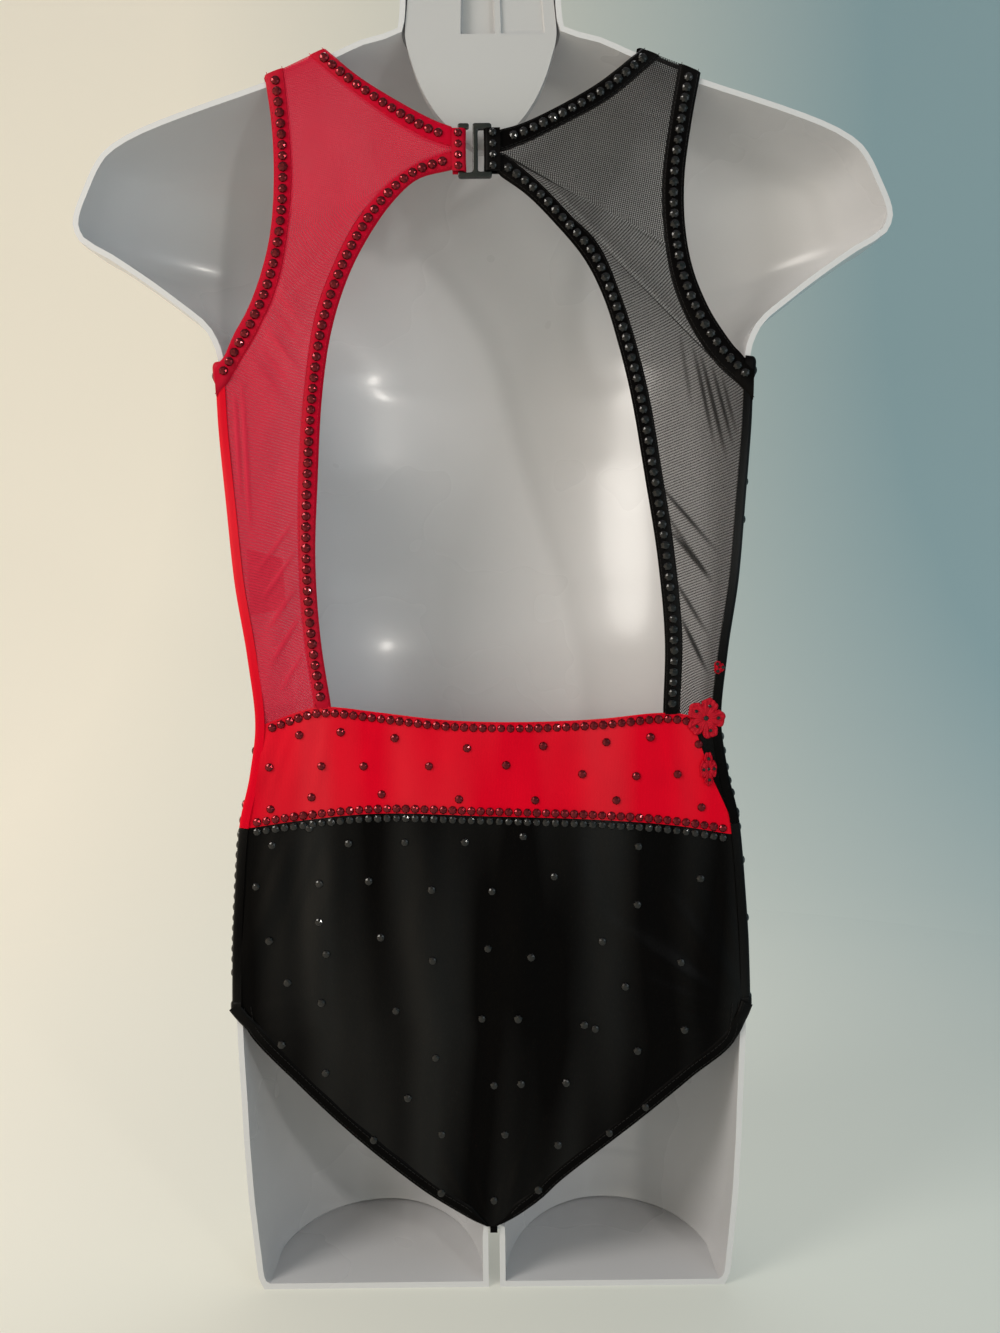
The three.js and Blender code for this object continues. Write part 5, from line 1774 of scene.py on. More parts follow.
@dataclass
class Closure:
    """The neck closure: two folded loops of binding in a moulded hook."""

    finishes: Finishes
    tab_half: float = 2.65
    tab_wall: float = 0.95
    tab_y: float = -1.6
    bow: float = 0.35
    low: float = 595.7
    high: float = 618.2
    thick: float = 2.6
    corner: float = 1.6
    slot_corner: float = 1.3
    slot_ease: float = 0.4
    edge: float = 0.55

    def tab(self, half: Half, closed_x: float, open_x: float, stones: StonePlaces) -> None:
        """One loop, folded round a bar of the hook and open towards the binding.

        Args:
            half: colour half.
            closed_x: where it turns round the bar.
            open_x: where it meets the binding.
            stones: gathers its column of stones.
        """
        turn = 1 if open_x > closed_x else -1

        def section(reach: float) -> list[tuple[float, float]]:
            """Half round loop at a distance from its middle line."""
            found = [(open_x, -reach), (mix(open_x, closed_x, 0.4), -reach)]
            middle = closed_x + turn * self.tab_half
            for k in range(1, 12):
                angle = math.pi * k / 12
                found.append((middle - turn * reach * math.sin(angle), -reach * math.cos(angle)))
            found += [(mix(open_x, closed_x, 0.4), reach), (open_x, reach)]
            return found

        def face(reach: float) -> Grid:
            """One face of the loop, slightly bowed at half its height."""
            grid = []
            for x, y in section(reach):
                row = []
                for z in spread(self.low, self.high, 16):
                    bow = self.bow * math.sin(math.pi * (z - self.low) / (self.high - self.low))
                    row.append(Vector((x + turn * bow * 0.5, y + self.tab_y, z)))
                grid.append(row)
            return grid

        piece = MeshMaker.shell(f"closure_loop_{half.suffix}", face(self.tab_half),
                                face(self.tab_half - self.tab_wall))
        dress(piece, self.finishes.binding[half], half.slot("binding"), [f"closure_tab_{half.suffix}"])
        column = mix(closed_x, open_x, 0.56)
        path = [(Vector((column, self.tab_y - self.tab_half, z)), BACKWARD)
                for z in spread(self.high - 2.6, self.low + 2.4, 8)]
        stones.row(path, 5.0, 4.4)

    def rounded(self, outline: Sequence[tuple[float, float]], radius: float) -> list[tuple[float, float]]:
        """Outline with its corners rounded.

        Args:
            outline: corner points.
            radius: corner radius in mm.

        Returns:
            Points of the rounded outline.
        """
        found = []
        count = len(outline)
        for k, here in enumerate(outline):
            before, after = Vector(outline[k - 1]), Vector(outline[(k + 1) % count])
            middle = Vector(here)
            back, on = before - middle, after - middle
            cut = min(radius, back.length * 0.48, on.length * 0.48)
            start, stop = middle + back.normalized() * cut, middle + on.normalized() * cut
            for t in spread(0, 1, 5):
                q = start * (1 - t) ** 2 + middle * (2 * t * (1 - t)) + stop * t**2
                found.append((q.x, q.y))
        return found

    def hook(self) -> None:
        """The moulded hook: a closed slot for one loop and an open hook for the other."""
        left, nub, gap, bar, right, low, high = -11.5, -5.4, -3.6, 2.8, 6.6, 592.4, 621.5
        outline = [
            (left, low), (right, low), (right, high), (gap, high), (gap, low + bar), (left + bar, low + bar),
            (left + bar, high - bar), (nub, high - bar), (nub, high), (left, high),
        ]
        floor, ceiling = low + bar + self.slot_ease, high - bar - self.slot_ease
        slot = [(gap + bar, floor), (gap + bar, ceiling), (right - bar, ceiling), (right - bar, floor)]
        data = bpy.data.curves.new("hook_line", "CURVE")
        data.dimensions = "2D"
        data.fill_mode = "BOTH"
        data.extrude = (self.thick / 2 - self.edge) * MM
        data.bevel_depth = self.edge * MM
        data.bevel_resolution = 3
        data.offset = -self.edge * MM
        for line, radius in ((outline, self.corner), (slot, self.slot_corner)):
            spline = data.splines.new("POLY")
            points = self.rounded(line, radius)
            spline.points.add(len(points) - 1)
            for spot, (x, z) in zip(spline.points, points):
                spot.co = (x * MM, z * MM, 0, 1)
            spline.use_cyclic_u = True
        holder = linked("hook_line", data)
        flat = evaluated(holder)
        work = bmesh.new()
        work.from_mesh(flat)
        bmesh.ops.remove_doubles(work, verts=work.verts[:], dist=0.00001)
        for spot in work.verts:
            x, z, y = spot.co
            spot.co = (x - AXIS_X * MM, y + (self.tab_y - FRAME_Y) * MM, z)
        bmesh.ops.recalc_face_normals(work, faces=work.faces[:])
        mesh = bpy.data.meshes.new("neck_hook")
        work.to_mesh(mesh)
        work.free()
        bpy.data.objects.remove(holder)
        bpy.data.curves.remove(data)
        bpy.data.meshes.remove(flat)
        piece = linked("neck_hook", mesh)
        MeshMaker.face_out(piece)
        MeshMaker.smooth(piece, 40.0)
        dress(piece, self.finishes.hook, "hook_plastic", ["hook_clasp"])


# Single stones of the back: x, z
BAND_STONES = (
    (-99.4, 296.4), (-77.4, 297.7), (-48.6, 294.2), (-10.1, 288.4), (30.6, 289.1), (64.3, 290.8),
    (87.9, 293.2), (113.5, 289.2), (-115.6, 279.4), (-87.8, 279.7), (-65.3, 279.4), (-30.5, 279),
    (10.7, 279.1), (51.3, 273.9), (80.1, 272.5), (102.1, 273.3), (-93.3, 263.1), (-55.9, 264.3),
    (-14.7, 261.2), (26, 260.2), (69.3, 259.7), (114.7, 255.5), (-115.3, 257),
)
SEAT_STONES = (
    (-94.6, 246.6), (-114.5, 237.7), (-73.8, 238.3), (-43.8, 238.5), (-11.7, 238.2), (19.3, 241),
    (80.8, 235), (-123.3, 215.9), (-89.5, 217.1), (-63.3, 217.9), (-29.7, 213.2), (2.4, 211.8),
    (35.7, 219.4), (113.8, 217.5), (79.9, 204), (-89.8, 196.8), (-57.2, 187.8), (-116.6, 186.9),
    (-86.2, 179.6), (-29.5, 175.8), (61, 184.4), (-0.1, 181.3), (22.9, 176.8), (102.6, 173.2),
    (-107.3, 164.3), (73, 160.2), (-89.2, 153.4), (-49.6, 148.7), (-3.7, 143.9), (15.6, 144.2),
    (50.9, 140.1), (56.7, 137.9), (104.3, 136.8), (-110.8, 131.2), (79.1, 125.9), (-87.5, 115.9),
    (-28.5, 123.9), (-43.7, 102.1), (2.4, 108.5), (16.8, 109.4), (40.9, 109.2), (83, 95.9),
    (-62.2, 79.8), (-25.8, 82.6), (7.9, 82.3), (63.6, 82.2), (36.2, 76.1), (-26.4, 51.6),
    (1.7, 47), (25.3, 52.6),
)
# Stones that show at the very side: side of the garment, height, colour half
SIDE_STONES = (
    (1, 226.4, 1), (1, 195.3, 1), (1, 153.1, 1), (1, 276.3, 1), (1, 269, 1), (1, 262.3, 1), (1, 252.1, 1),
    (1, 292.8, 1), (1, 285, 1), (1, 430.2, 1), (1, 409.8, 1), (-1, 168.9, 1), (-1, 287.6, -1),
    (-1, 258.7, -1),
)


class NodeBench:
    """Adds nodes to a geometry tree and joins them by socket place."""

    def __init__(self, name: str, inputs: Sequence[tuple[str, str, object]]) -> None:
        """Start a tree with named inputs.

        Args:
            name: tree name.
            inputs: name, socket type and first value of each input.
        """
        self.tree = bpy.data.node_groups.new(name, "GeometryNodeTree")
        face = self.tree.interface
        face.new_socket("Geometry", in_out="INPUT", socket_type="NodeSocketGeometry")
        self.names = {}
        for label, kind, value in inputs:
            socket = face.new_socket(label, in_out="INPUT", socket_type=f"NodeSocket{kind}")
            if value is not None:
                socket.default_value = value
            self.names[label] = socket.identifier
        face.new_socket("Geometry", in_out="OUTPUT", socket_type="NodeSocketGeometry")
        self.source = self.tree.nodes.new("NodeGroupInput").outputs
        self.sink = self.tree.nodes.new("NodeGroupOutput").inputs

    def add(self, kind: str, inputs: dict[object, object] | None = None,
            **settings: object) -> bpy.types.NodeOutputs:
        """New node with values, links and settings.

        Args:
            kind: node type.
            inputs: socket name or place, and a value or an output socket.
            settings: its own properties.

        Returns:
            The node's outputs.
        """
        node = self.tree.nodes.new(kind)
        for key, value in settings.items():
            setattr(node, key, value)
        for key, value in (inputs or {}).items():
            if isinstance(value, Socket):
                self.tree.links.new(value, node.inputs[key])
            else:
                node.inputs[key].default_value = value
        return node.outputs

    def path(self) -> Socket:
        """The carrier's lines with a point at every pitch."""
        line = self.add("GeometryNodeMeshToCurve", {"Mesh": self.source["Geometry"]})[0]
        return self.add("GeometryNodeResampleCurve", {"Curve": line, "Length": self.source["Pitch"]},
                        mode="LENGTH")[0]

    def value(self, name: str, kind: str) -> Socket:
        """Named value of each point of the carrier."""
        return self.add("GeometryNodeInputNamedAttribute", {"Name": name}, data_type=kind)[0]

    def chance(self, low: float, high: float) -> Socket:
        """Random number for each point."""
        return self.add("FunctionNodeRandomValue", {2: low, 3: high, "Seed": self.source["Seed"]},
                        data_type="FLOAT")[1]

    def turned(self, rotation: Socket, axis: tuple[int, int, int], angle: Socket) -> Socket:
        """Rotation with a further turn about one of its own axes."""
        turn = self.add("FunctionNodeAxisAngleToRotation", {"Axis": axis, "Angle": angle})[0]
        return self.add("FunctionNodeRotateRotation", {0: rotation, 1: turn}, rotation_space="LOCAL")[0]

    def finish(self, inputs: dict[object, object]) -> None:
        """End the tree: instances on points made real geometry with its finish."""
        placed = self.add("GeometryNodeInstanceOnPoints", inputs)[0]
        real = self.add("GeometryNodeRealizeInstances", {"Geometry": placed})[0]
        done = self.add("GeometryNodeSetMaterial", {"Geometry": real, "Material": self.source["Finish"]})[0]
        self.tree.links.new(done, self.sink["Geometry"])

    def grow(self, name: str, carrier: bpy.types.Mesh, values: dict[str, object]) -> Piece:
        """Run the tree on a carrier mesh and keep the result as a plain mesh.

        Args:
            name: piece name.
            carrier: points or lines to follow.
            values: value for each named input.

        Returns:
            The object.
        """
        piece = linked(name, carrier)
        modifier = piece.modifiers.new("grow", "NODES")
        modifier.node_group = self.tree
        for label, value in values.items():
            modifier[self.names[label]] = value
        grown = evaluated(piece)
        piece.modifiers.clear()
        piece.data = grown
        grown.name = name
        bpy.data.meshes.remove(carrier)
        return piece


class StoneSetter:
    """Sets the stones along rows and at single places."""

    def __init__(self) -> None:
        """Build the tree."""
        bench = NodeBench("stone_rows", [
            ("Stone", "Object", None), ("Follow Path", "Bool", True), ("Pitch", "Float", 0.0056),
            ("Size Spread", "Float", 0.05), ("Lean", "Float", 0.12), ("Seed", "Int", 4),
            ("Finish", "Material", None)])
        source = bench.source
        points = bench.add("GeometryNodeSwitch", {
            "Switch": source["Follow Path"], "False": source["Geometry"], "True": bench.path(),
        }, input_type="GEOMETRY")[0]
        lean = bench.add("FunctionNodeRandomValue", {
            "Min": (-1, -1, -1), "Max": (1, 1, 1), "Seed": source["Seed"]}, data_type="FLOAT_VECTOR")[0]
        leaned = bench.add("ShaderNodeVectorMath", {0: lean, "Scale": source["Lean"]}, operation="SCALE")[0]
        aimed = bench.add("ShaderNodeVectorMath", {
            0: bench.value("facing", "FLOAT_VECTOR"), 1: leaned}, operation="ADD")[0]
        aligned = bench.add("FunctionNodeAlignRotationToVector", {"Vector": aimed}, axis="Z")[0]
        rotated = bench.turned(aligned, (0, 0, 1), bench.chance(0.0, 2 * math.pi))
        vary = bench.add("ShaderNodeMath", {0: bench.chance(-1.0, 1.0), 1: source["Size Spread"], 2: 1.0},
                         operation="MULTIPLY_ADD")[0]
        scale = bench.add("ShaderNodeMath", {0: bench.value("size", "FLOAT"), 1: vary},
                          operation="MULTIPLY")[0]
        stone = bench.add("GeometryNodeObjectInfo", {"Object": source["Stone"]})["Geometry"]
        bench.finish({"Points": points, "Instance": stone, "Rotation": rotated, "Scale": scale})
        self.bench = bench

    @staticmethod
    def stone() -> Piece:
        """A faceted stone one metre across, later scaled: flat back, two rows of facets and a table."""
        # Half width, height and share of a step that it is turned, from the back up
        rings = ((0.5, 0.0, 0), (0.5, 0.07, 0), (0.4, 0.21, 1), (0.2, 0.30, 0))
        points, faces = [], []
        count = 8
        for radius, height, twist in rings:
            for k in range(count):
                angle = 2 * math.pi * (k + 0.5 * twist) / count
                points.append((radius * math.cos(angle), radius * math.sin(angle), height))
        faces.append(tuple(reversed(range(count))))
        for k in range(count):
            n = (k + 1) % count
            a, b, c = count, 2 * count, 3 * count
            faces += [(k, n, a + n, a + k), (a + k, a + n, b + k), (b + k, a + n, b + n),
                      (b + k, b + n, c + n), (b + k, c + n, c + k)]
        faces.append(tuple(range(3 * count, 4 * count)))
        piece = MeshMaker.mesh("one_stone", points, faces)
        MeshMaker.face_out(piece)
        return piece

    @staticmethod
    def carrier(name: str, paths: list[tuple[list[tuple[Vector, Vector]], float]]) -> bpy.types.Mesh:
        """Mesh of lines or loose points with their outward direction and stone size.

        Args:
            name: mesh name.
            paths: points with directions, and the stone size in mm.

        Returns:
            The mesh.
        """
        points, facing, sizes, edges = [], [], [], []
        for path, size in paths:
            start = len(points)
            for point, out in path:
                points.append(to_row(point))
                facing.append(out)
                sizes.append(size * MM)
            edges += [(k, k + 1) for k in range(start, len(points) - 1)]
        data = bpy.data.meshes.new(name)
        data.from_pydata(points, edges, [])
        data.attributes.new("facing", "FLOAT_VECTOR", "POINT").data.foreach_set(
            "vector", [value for out in facing for value in out])
        data.attributes.new("size", "FLOAT", "POINT").data.foreach_set("value", sizes)
        return data

    def set(self, places: StonePlaces, finishes: Finishes) -> None:
        """All stones of one colour: one piece for each pitch and one for the single stones.

        Args:
            places: rows and single places.
            finishes: all finishes.
        """
        base, finish, suffix = self.stone(), finishes.stone[places.half], places.half.suffix
        common = {"Stone": base, "Finish": finish, "Lean": 0.10, "Size Spread": 0.05}
        made = []
        for number, pitch in enumerate(sorted({pitch for _, pitch, _ in places.rows})):
            paths = [(path, size) for path, found, size in places.rows if found == pitch]
            made.append(self.bench.grow(
                f"stones_{suffix}_row_{number}", self.carrier(f"stone_lines_{number}", paths),
                {**common, "Follow Path": True, "Pitch": pitch * MM, "Seed": 11 + number}))
        single = [([(point, out)], size) for point, out, size in places.singles]
        made.append(self.bench.grow(f"stones_{suffix}_single", self.carrier("stone_points", single),
                                    {**common, "Follow Path": False, "Seed": 5}))
        bpy.data.objects.remove(base)
        for piece in made:
            piece.data.shade_flat()
            dress(piece, finish)


class Sewing:
    """Fine stitches along the seams."""

    def __init__(self) -> None:
        """Build the tree."""
        bench = NodeBench("stitch_rows", [
            ("Pitch", "Float", 0.0026), ("Stitch Length", "Float", 0.0019),
            ("Thread Radius", "Float", 0.00018), ("Finish", "Material", None)])
        source = bench.source
        spaced = bench.path()
        tangent = bench.add("GeometryNodeInputTangent")[0]
        along = bench.add("FunctionNodeAlignRotationToVector", {"Vector": tangent}, axis="Z")[0]
        upright = bench.add("FunctionNodeAlignRotationToVector", {
            "Rotation": along, "Vector": bench.value("facing", "FLOAT_VECTOR")}, axis="X", pivot_axis="Z")[0]
        thread = bench.add("GeometryNodeMeshCylinder", {
            "Vertices": 6, "Radius": source["Thread Radius"], "Depth": source["Stitch Length"],
        }, fill_type="NGON")["Mesh"]
        bench.finish({"Points": spaced, "Instance": thread, "Rotation": upright})
        self.bench = bench

    def sew(self, name: str, paths: list[list[tuple[Vector, Vector]]], thread: bpy.types.Material) -> None:
        """Stitches along paths.

        Args:
            name: piece name.
            paths: points with their outward direction.
            thread: thread finish.
        """
        data = StoneSetter.carrier(f"{name}_lines", [(path, 1.0) for path in paths])
        dress(self.bench.grow(name, data, {"Finish": thread}), thread)


@dataclass
class Trimming:
    """Every stone and stitch of the leotard."""

    edge_pitch: float = 5.6
    edge_size: float = 5.3
    band_pitch: float = 4.9
    band_size: float = 4.7
    loose_size: float = 4.7
    binding_lift: float = 1.95
    cloth_lift: float = 0.85
    # How far the front's waist rows are from the seam
    from_seam: float = 3.2
    # The front's single stones: tries, seed, least distance apart, and how far from leg line and waist
    tries: int = 1400
    seed: int = 20
    apart: float = 21.0
    from_leg: float = 11.0
    from_waist: float = 9.0
    # Above this height over the waist they are only at the sides, from this share on
    bare_over_waist: float = 62.0
    bare_share: float = 0.86
    # Where they are strewn: greatest share to a side, heights
    strewn_share: float = 0.97
    strewn_z: tuple[float, float] = (90, 470)
    # Place of the row and the single stones at the very side
    side_place: float = 0.99
    # Shares at which the front's rows start and end: bindings, waist
    binding_run: tuple[float, float] = (0.006, 0.998)
    waist_run: tuple[float, float] = (0.012, 0.985)
    # Stitches: shares across a binding, distances from the leg line, and lifts over the back's inner face
    stitch_shares: tuple[float, float] = (0.12, 0.88)
    leg_stitches: tuple[float, float] = (1.4, 4.9)
    binding_stitch_lift: float = 1.62
    leg_stitch_lift: float = 1.5
    waist_stitch_lift: float = 0.95

    def back_rows(self, lines: BackLines, stones: StonePlaces) -> None:
        """Stone rows along the bindings of one half of the back."""
        for edge, seam in lines.pairs():
            path = [(point + BACKWARD * side_rise(point.x), out) for point, out in
                    back_path(between(edge, seam, 0.5), NET_FOLDS[lines.half], self.binding_lift)]
            stones.row(path[3:-4], self.edge_pitch, self.edge_size)

    def front_rows(self, half: Half, lift: float, stones: StonePlaces) -> None:
        """Stone rows along the front bindings, like those behind."""
        for edge, seam, steps in ((FRONT_NECK_EDGE, FRONT_NECK_INNER, 60),
                                  (FRONT_ARM_EDGE, FRONT_ARM_INNER, 90)):
            path = []
            for p, z in between(SURFACE.line_on(edge, steps), SURFACE.line_on(seam, steps), 0.5):
                place = half.value * clamp(p, *self.binding_run)
                path.append((SURFACE.cloth_point(place, z, lift), SURFACE.normal(place, z)))
            stones.row(path[1:-1], self.edge_pitch, self.edge_size)

    def waist_rows(self, red: StonePlaces, black: StonePlaces) -> None:
        """Stone rows along the waistband's upper edge and on both sides of its lower seam."""
        for stones, edge, shift, folds in (
                (red, BAND_TOP, -3.4, BAND_FOLDS), (red, BAND_BOTTOM, 2.5, BAND_FOLDS),
                (black, BAND_BOTTOM, -2.6, SEAT_FOLDS)):
            line = [(x, z + shift) for x, z in along_line(edge, 120)[2:-2]]
            stones.row(back_path(line, folds, self.cloth_lift), self.band_pitch, self.band_size)

    def side_row(self, lift: float, stones: StonePlaces) -> None:
        """Stones down the left side, where the front turns to the back."""
        p = -self.side_place
        path = [(SURFACE.cloth_point(p, z, lift), SURFACE.normal(p, z)) for z in spread(243, 176, 20)]
        stones.row(path, self.edge_pitch, self.band_size)

    def side_singles(self, lift: float, stones: dict[Half, StonePlaces]) -> None:
        """Single stones at the very side."""
        for side, z, colour in SIDE_STONES:
            p = side * self.side_place
            point = SURFACE.cloth_point(p, z, lift)
            stones[Half(colour)].single(point, SURFACE.normal(p, z), self.loose_size)

    def loose(self, red: StonePlaces, black: StonePlaces) -> None:
        """Single stones of the waistband and the seat."""
        for stones, spots, folds in ((red, BAND_STONES, BAND_FOLDS), (black, SEAT_STONES, SEAT_FOLDS)):
            for point, out in back_path(spots, folds, self.cloth_lift):
                stones.single(point, out, self.loose_size)

    def front_loose(self, lift: float, red: StonePlaces, black: StonePlaces) -> None:
        """Single stones of the front and the sides, as thinly strewn as those behind."""
        rng = random.Random(self.seed)
        leg = SmoothTable(BRIEF_LEG)
        taken: list[Vector] = []
        for _ in range(self.tries):
            p, z = rng.uniform(-self.strewn_share, self.strewn_share), rng.uniform(*self.strewn_z)
            point = SURFACE.cloth_point(p, z, lift)
            off_cloth = z < leg(abs(point.x - AXIS_X)) + self.from_leg
            bare = WAIST_SEAM_Z + self.bare_over_waist < z and abs(p) < self.bare_share
            on_seam = abs(z - WAIST_SEAM_Z) < self.from_waist
            if off_cloth or bare or on_seam or any((point - other).length < self.apart for other in taken):
                continue
            taken.append(point)
            colour = red if z > WAIST_SEAM_Z and p < 0 else black
            colour.single(point, SURFACE.normal(p, z), self.loose_size)

    def front_waist_row(self, lift: float, red: StonePlaces, black: StonePlaces) -> None:
        """The waist rows carried on round the front."""
        for shift, upper in ((self.from_seam, True), (-self.from_seam, False)):
            for side in (-1, 1):
                z = WAIST_SEAM_Z + shift
                path = [(SURFACE.cloth_point(side * p, z, lift), SURFACE.normal(side * p, z))
                        for p in spread(*self.waist_run, 80)]
                colour = red if upper and side < 0 else black
                colour.row(path, self.band_pitch, self.band_size)

    def seams(self, all_lines: dict[Half, BackLines], sewing: Sewing, finishes: Finishes) -> None:
        """Stitches along the bindings, the waist seams and the leg hems.

        Args:
            all_lines: seam lines of both halves.
            sewing: sews them.
            finishes: all finishes.
        """
        for half, lines in all_lines.items():
            paths = [back_path(between(edge, seam, share), NET_FOLDS[half], self.binding_stitch_lift)
                     for edge, seam in lines.pairs() for share in self.stitch_shares]
            sewing.sew(f"stitches_binding_{half.suffix}", paths, finishes.thread[half])
            leg = along_line(LEG_EDGE[half.value], 120)
            rows = [back_path(moved_in(leg, half.value, wide, 0.3, 0.3)[:-8], SEAT_FOLDS,
                              self.leg_stitch_lift) for wide in self.leg_stitches]
            sewing.sew(f"stitches_leg_{half.suffix}", rows, finishes.thread[Half.BLACK])
        paths = [back_path([(x, z + shift) for x, z in along_line(edge, 140)[2:-2]], BAND_FOLDS,
                           self.waist_stitch_lift)
                 for edge, shift in ((BAND_TOP, -0.9), (BAND_BOTTOM, 0.8))]
        sewing.sew("stitches_waist", paths, finishes.thread[Half.RED])


@dataclass
class LabelPatch:
    """Small bare patch of film behind the left net."""

    finishes: Finishes
    corners: Sequence[tuple[float, float]] = (
        (-126.6, 396), (-107.5, 390.5), (-105.5, 364), (-124.8, 360.5))

    def build(self) -> None:
        """The patch."""
        (ax, az), (bx, bz), (cx, cz), (dx, dz) = self.corners
        grids: list[Grid] = [[], []]
        folds = NET_FOLDS[Half.RED]
        for v in spread(0, 1, 20):
            rows: list[list[Vector]] = [[], []]
            for u in spread(0, 1, 16):
                x = mix(mix(ax, bx, u), mix(dx, cx, u), v)
                z = mix(mix(az, bz, u), mix(dz, cz, u), v)
                for row, lift in zip(rows, (0.9, 0.72)):
                    row.append(Vector((x, back_inner(folds, x, z) - lift - ripple(x, z, 16, 0.25), z)))
            grids[0].append(rows[0])
            grids[1].append(rows[1])
        piece = MeshMaker.shell("label_patch", *grids)
        dress(piece, self.finishes.label, "red_net")


@dataclass
class FrontBindings:
    """Bindings of the front neck and armholes, which run on round the sides to those behind."""

    finishes: Finishes
    thickness: float = 2.0
    lift: float = 1.4

    def strip(self, half: Half, edge: Line, seam: Line, at_rim: bool | None) -> tuple[Grid, Grid]:
        """Rounded strip between two lines on the form.

        Args:
            half: half of the garment.
            edge: places of its free edge.
            seam: places of its seam.
            at_rim: whether it starts (True) or ends (False) with a turn round the rim, or has none.

        Returns:
            Outer and inner grid.
        """
        shares = round_shares(BINDING_COLUMNS)
        side = half.value
        rows: list[list[Place]] = []
        for (edge_p, edge_z), (seam_p, seam_z) in zip(edge, seam):
            rows.append([(side * max(CENTRE_SEAM, mix(edge_p, seam_p, t)), mix(edge_z, seam_z, t), 0.0)
                         for t in shares])
        if at_rim is not None:
            low, high = (line[0 if at_rim else -1][1] for line in (edge, seam))
            for wrap in (0.25, 0.5, 0.75, 1, 2, 3, 4):
                row = [(float(side), mix(low, high, t), wrap) for t in shares]
                rows.insert(0 if at_rim else len(rows), row)
        outer, inner = [], []
        for row in rows:
            outer_row, inner_row = [], []
            for t, (p, z, wrap) in zip(shares, row):
                rise = self.thickness * crown(t)
                outer_row.append(SURFACE.cloth_point(p, z, self.lift + rise, wrap))
                inner_row.append(SURFACE.cloth_point(p, z, self.lift, wrap))
            outer.append(outer_row)
            inner.append(inner_row)
        return outer, inner

    def build(self, half: Half, kind: str) -> None:
        """One rounded binding strip of the front.

        Args:
            half: colour half.
            kind: neck or armhole.
        """
        neck = kind == "neck"
        steps = 70 if neck else 110
        edge = SURFACE.line_on(FRONT_NECK_EDGE if neck else FRONT_ARM_EDGE, steps)
        seam = SURFACE.line_on(FRONT_NECK_INNER if neck else FRONT_ARM_INNER, steps)
        outer, inner = self.strip(half, edge, seam, None if neck else True)
        piece = MeshMaker.shell(f"{kind}_edge_front_{half.suffix}", outer, inner)
        dress(piece, self.finishes.binding[half], half.slot("binding"),
              [f"{kind}_binding_front_{half.suffix}"])

    def hem(self, half: Half) -> Piece:
        """Turned edge of the front brief's leg line.

        Args:
            half: half of the garment.

        Returns:
            The object.
        """
        line = along_line(BRIEF_LEG, 40)
        shifted = []
        for k, (x, z) in enumerate(line):
            before, after = line[max(0, k - 1)], line[min(len(line) - 1, k + 1)]
            run = math.hypot(after[0] - before[0], after[1] - before[1])
            shifted.append((x - (after[1] - before[1]) / run * 5.5, z + (after[0] - before[0]) / run * 5.5))
        edge, seam = SURFACE.line_on(BRIEF_LEG, 90), SURFACE.line_on(shifted, 90)
        outer, inner = self.strip(half, edge, seam, False)
        piece = MeshMaker.shell(f"leg_hem_front_{half.suffix}", outer, inner)
        return dress(piece, self.finishes.knit[Half.BLACK], "black_spandex")


# Lamps: name, place and size in metres, power in watts, colour
LAMPS = (
    ("key", (-1.25, -1.05, 1.30), 0.8, 17.0, (1.0, 0.95, 0.88)),
    ("fill", (1.3, -1.2, 0.6), 1.2, 4.0, (0.88, 0.94, 1.0)),
    ("top", (0.15, 0.45, 1.75), 1.0, 6.0, (1.0, 1.0, 1.0)),
    ("glint", (0.75, -1.35, 0.75), 0.12, 3.0, (1.0, 0.95, 0.88)),
)


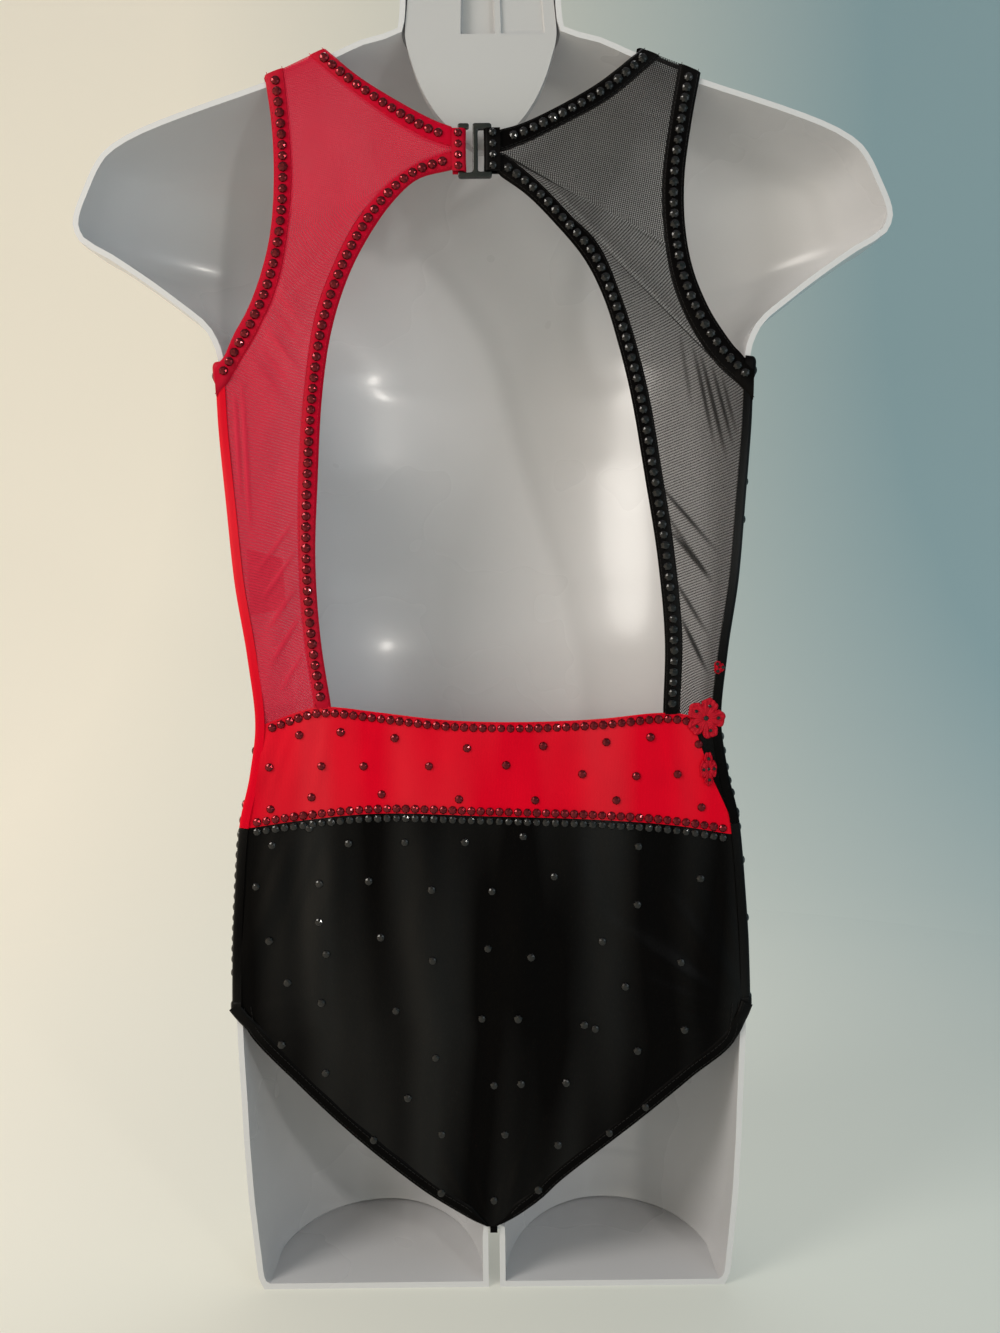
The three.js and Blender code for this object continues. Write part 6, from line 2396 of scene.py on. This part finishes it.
@dataclass
class Studio:
    """Plain pale stage, soft lights and the camera at the photograph's angle."""

    finishes: Finishes
    distance: float = 0.580
    seen_height: float = 0.7132
    centre: tuple[float, float] = (0.0066, 0.3318)
    lean: float = 0.63
    stage_radius: float = 2.4
    cove: float = 1.5
    wall: float = 2.6
    sensor: float = 36.0
    aim_height: float = 0.36
    room_color: tuple[float, float, float, float] = (0.93, 0.95, 1.0, 1.0)
    room_strength: float = 0.30

    def stage(self) -> None:
        """Round floor that turns up into a plain wall."""
        rise_steps, around = 12, 72
        flat = self.stage_radius - self.cove
        profile = [(0.5, 0.0), (1.0, 0.0), (flat, 0.0)]
        for k in range(1, rise_steps + 1):
            angle = math.pi / 2 * k / rise_steps
            profile.append((flat + self.cove * math.sin(angle), self.cove * (1 - math.cos(angle))))
        profile.append((self.stage_radius, self.wall))
        points, faces = [(0.0, 0.0, 0.0)], []
        for radius, height in profile:
            for k in range(around):
                angle = 2 * math.pi * k / around
                points.append((radius * math.cos(angle), radius * math.sin(angle), height))
        for k in range(around):
            faces.append((0, 1 + k, 1 + (k + 1) % around))
        for r in range(len(profile) - 1):
            for k in range(around):
                a, b = 1 + r * around + k, 1 + r * around + (k + 1) % around
                faces.append((a, a + around, b + around, b))
        piece = MeshMaker.mesh("stage", points, faces)
        MeshMaker.smooth(piece, 60)
        piece.data.materials.append(self.finishes.stage)

    def lights(self) -> None:
        """Warm light from the upper left, fill from the right, a soft top and an even room."""
        for name, place, size, power, color in LAMPS:
            data = bpy.data.lights.new(name, "AREA")
            data.shape = "DISK"
            data.size, data.energy, data.color = size, power, color
            lamp = linked(name, data)
            lamp.location = place
            aim = Vector((0, 0, self.aim_height)) - Vector(place)
            lamp.rotation_euler = aim.to_track_quat("-Z", "Y").to_euler()
        world = bpy.data.worlds.new("soft_room")
        bpy.context.scene.world = world
        world.use_nodes = True
        background = world.node_tree.nodes["Background"]
        background.inputs["Color"].default_value = self.room_color
        background.inputs["Strength"].default_value = self.room_strength
        bpy.context.scene.view_settings.view_transform = "Standard"

    def camera(self) -> None:
        """Camera looking straight at the open back, leaning slightly as the photograph does."""
        data = bpy.data.cameras.new("view")
        data.sensor_width = self.sensor
        data.lens = self.sensor * self.distance / self.seen_height
        lens = linked("view", data)
        lens.location = (self.centre[0], -FRAME_Y * MM - self.distance, self.centre[1])
        lens.rotation_euler = (math.pi / 2, math.radians(self.lean), 0)
        bpy.context.scene.camera = lens


def corners(box: Sequence[Vector]) -> list[list[float]]:
    """A box's two corners as plain numbers."""
    return [[float(value) for value in corner] for corner in box]


# Bindings of one half of the back: piece's kind and the start of its solid's name
BACK_BINDINGS = (("neck", "neck_binding_back"), ("keyhole", "keyhole_binding"),
                 ("armhole", "armhole_binding_back"))


def main() -> None:
    """Build every sub-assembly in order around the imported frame."""
    logging.basicConfig(level=logging.INFO, format="%(name)s %(message)s")
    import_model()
    finishes = Finishes()
    studio = Studio(finishes)
    studio.camera()
    studio.lights()
    studio.stage()

    red, black = StonePlaces(Half.RED), StonePlaces(Half.BLACK)
    stones = {Half.RED: red, Half.BLACK: black}
    TorsoForm(finishes).build()
    NeckPlate(finishes).build()
    front, back, bindings = FrontCloth(finishes), BackCloth(finishes), FrontBindings(finishes)
    trimming = Trimming()
    brief = front.brief()
    front.gusset()
    top = front.lift + front.thickness
    all_lines = {}
    for half in Half:
        front.bodice(half)
        lines = all_lines[half] = BackLines(half)
        net = back.net(lines)
        edges = [back.binding(f"{kind}_edge_back_{half.suffix}", f"{node}_{half.suffix}", edge, seam, half)
                 for (kind, node), (edge, seam) in zip(BACK_BINDINGS, lines.pairs())]
        for kind in ("neck", "armhole"):
            bindings.build(half, kind)
        trimming.back_rows(lines, stones[half])
        trimming.front_rows(half, bindings.lift + bindings.thickness, stones[half])
    back.waistband()
    seat = back.seat()
    hems = [back.leg_hem(half) for half in Half]
    hem_maker = FrontBindings(finishes, 0.8, 2.3)
    front_hems = [hem_maker.hem(half) for half in Half]
    LabelPatch(finishes).build()
    Flowers(finishes).build(black)
    closure = Closure(finishes)
    closure.hook()
    closure.tab(Half.RED, -7.0, -14.5, red)
    closure.tab(Half.BLACK, 2.3, 11.1, black)
    trimming.waist_rows(red, black)
    trimming.side_row(top, black)
    trimming.side_singles(top, stones)
    trimming.loose(red, black)
    trimming.front_waist_row(top, red, black)
    trimming.front_loose(top, red, black)
    setter = StoneSetter()
    for places in (red, black):
        setter.set(places, finishes)
    trimming.seams(all_lines, Sewing(), finishes)


if __name__ == "__main__":
    main()
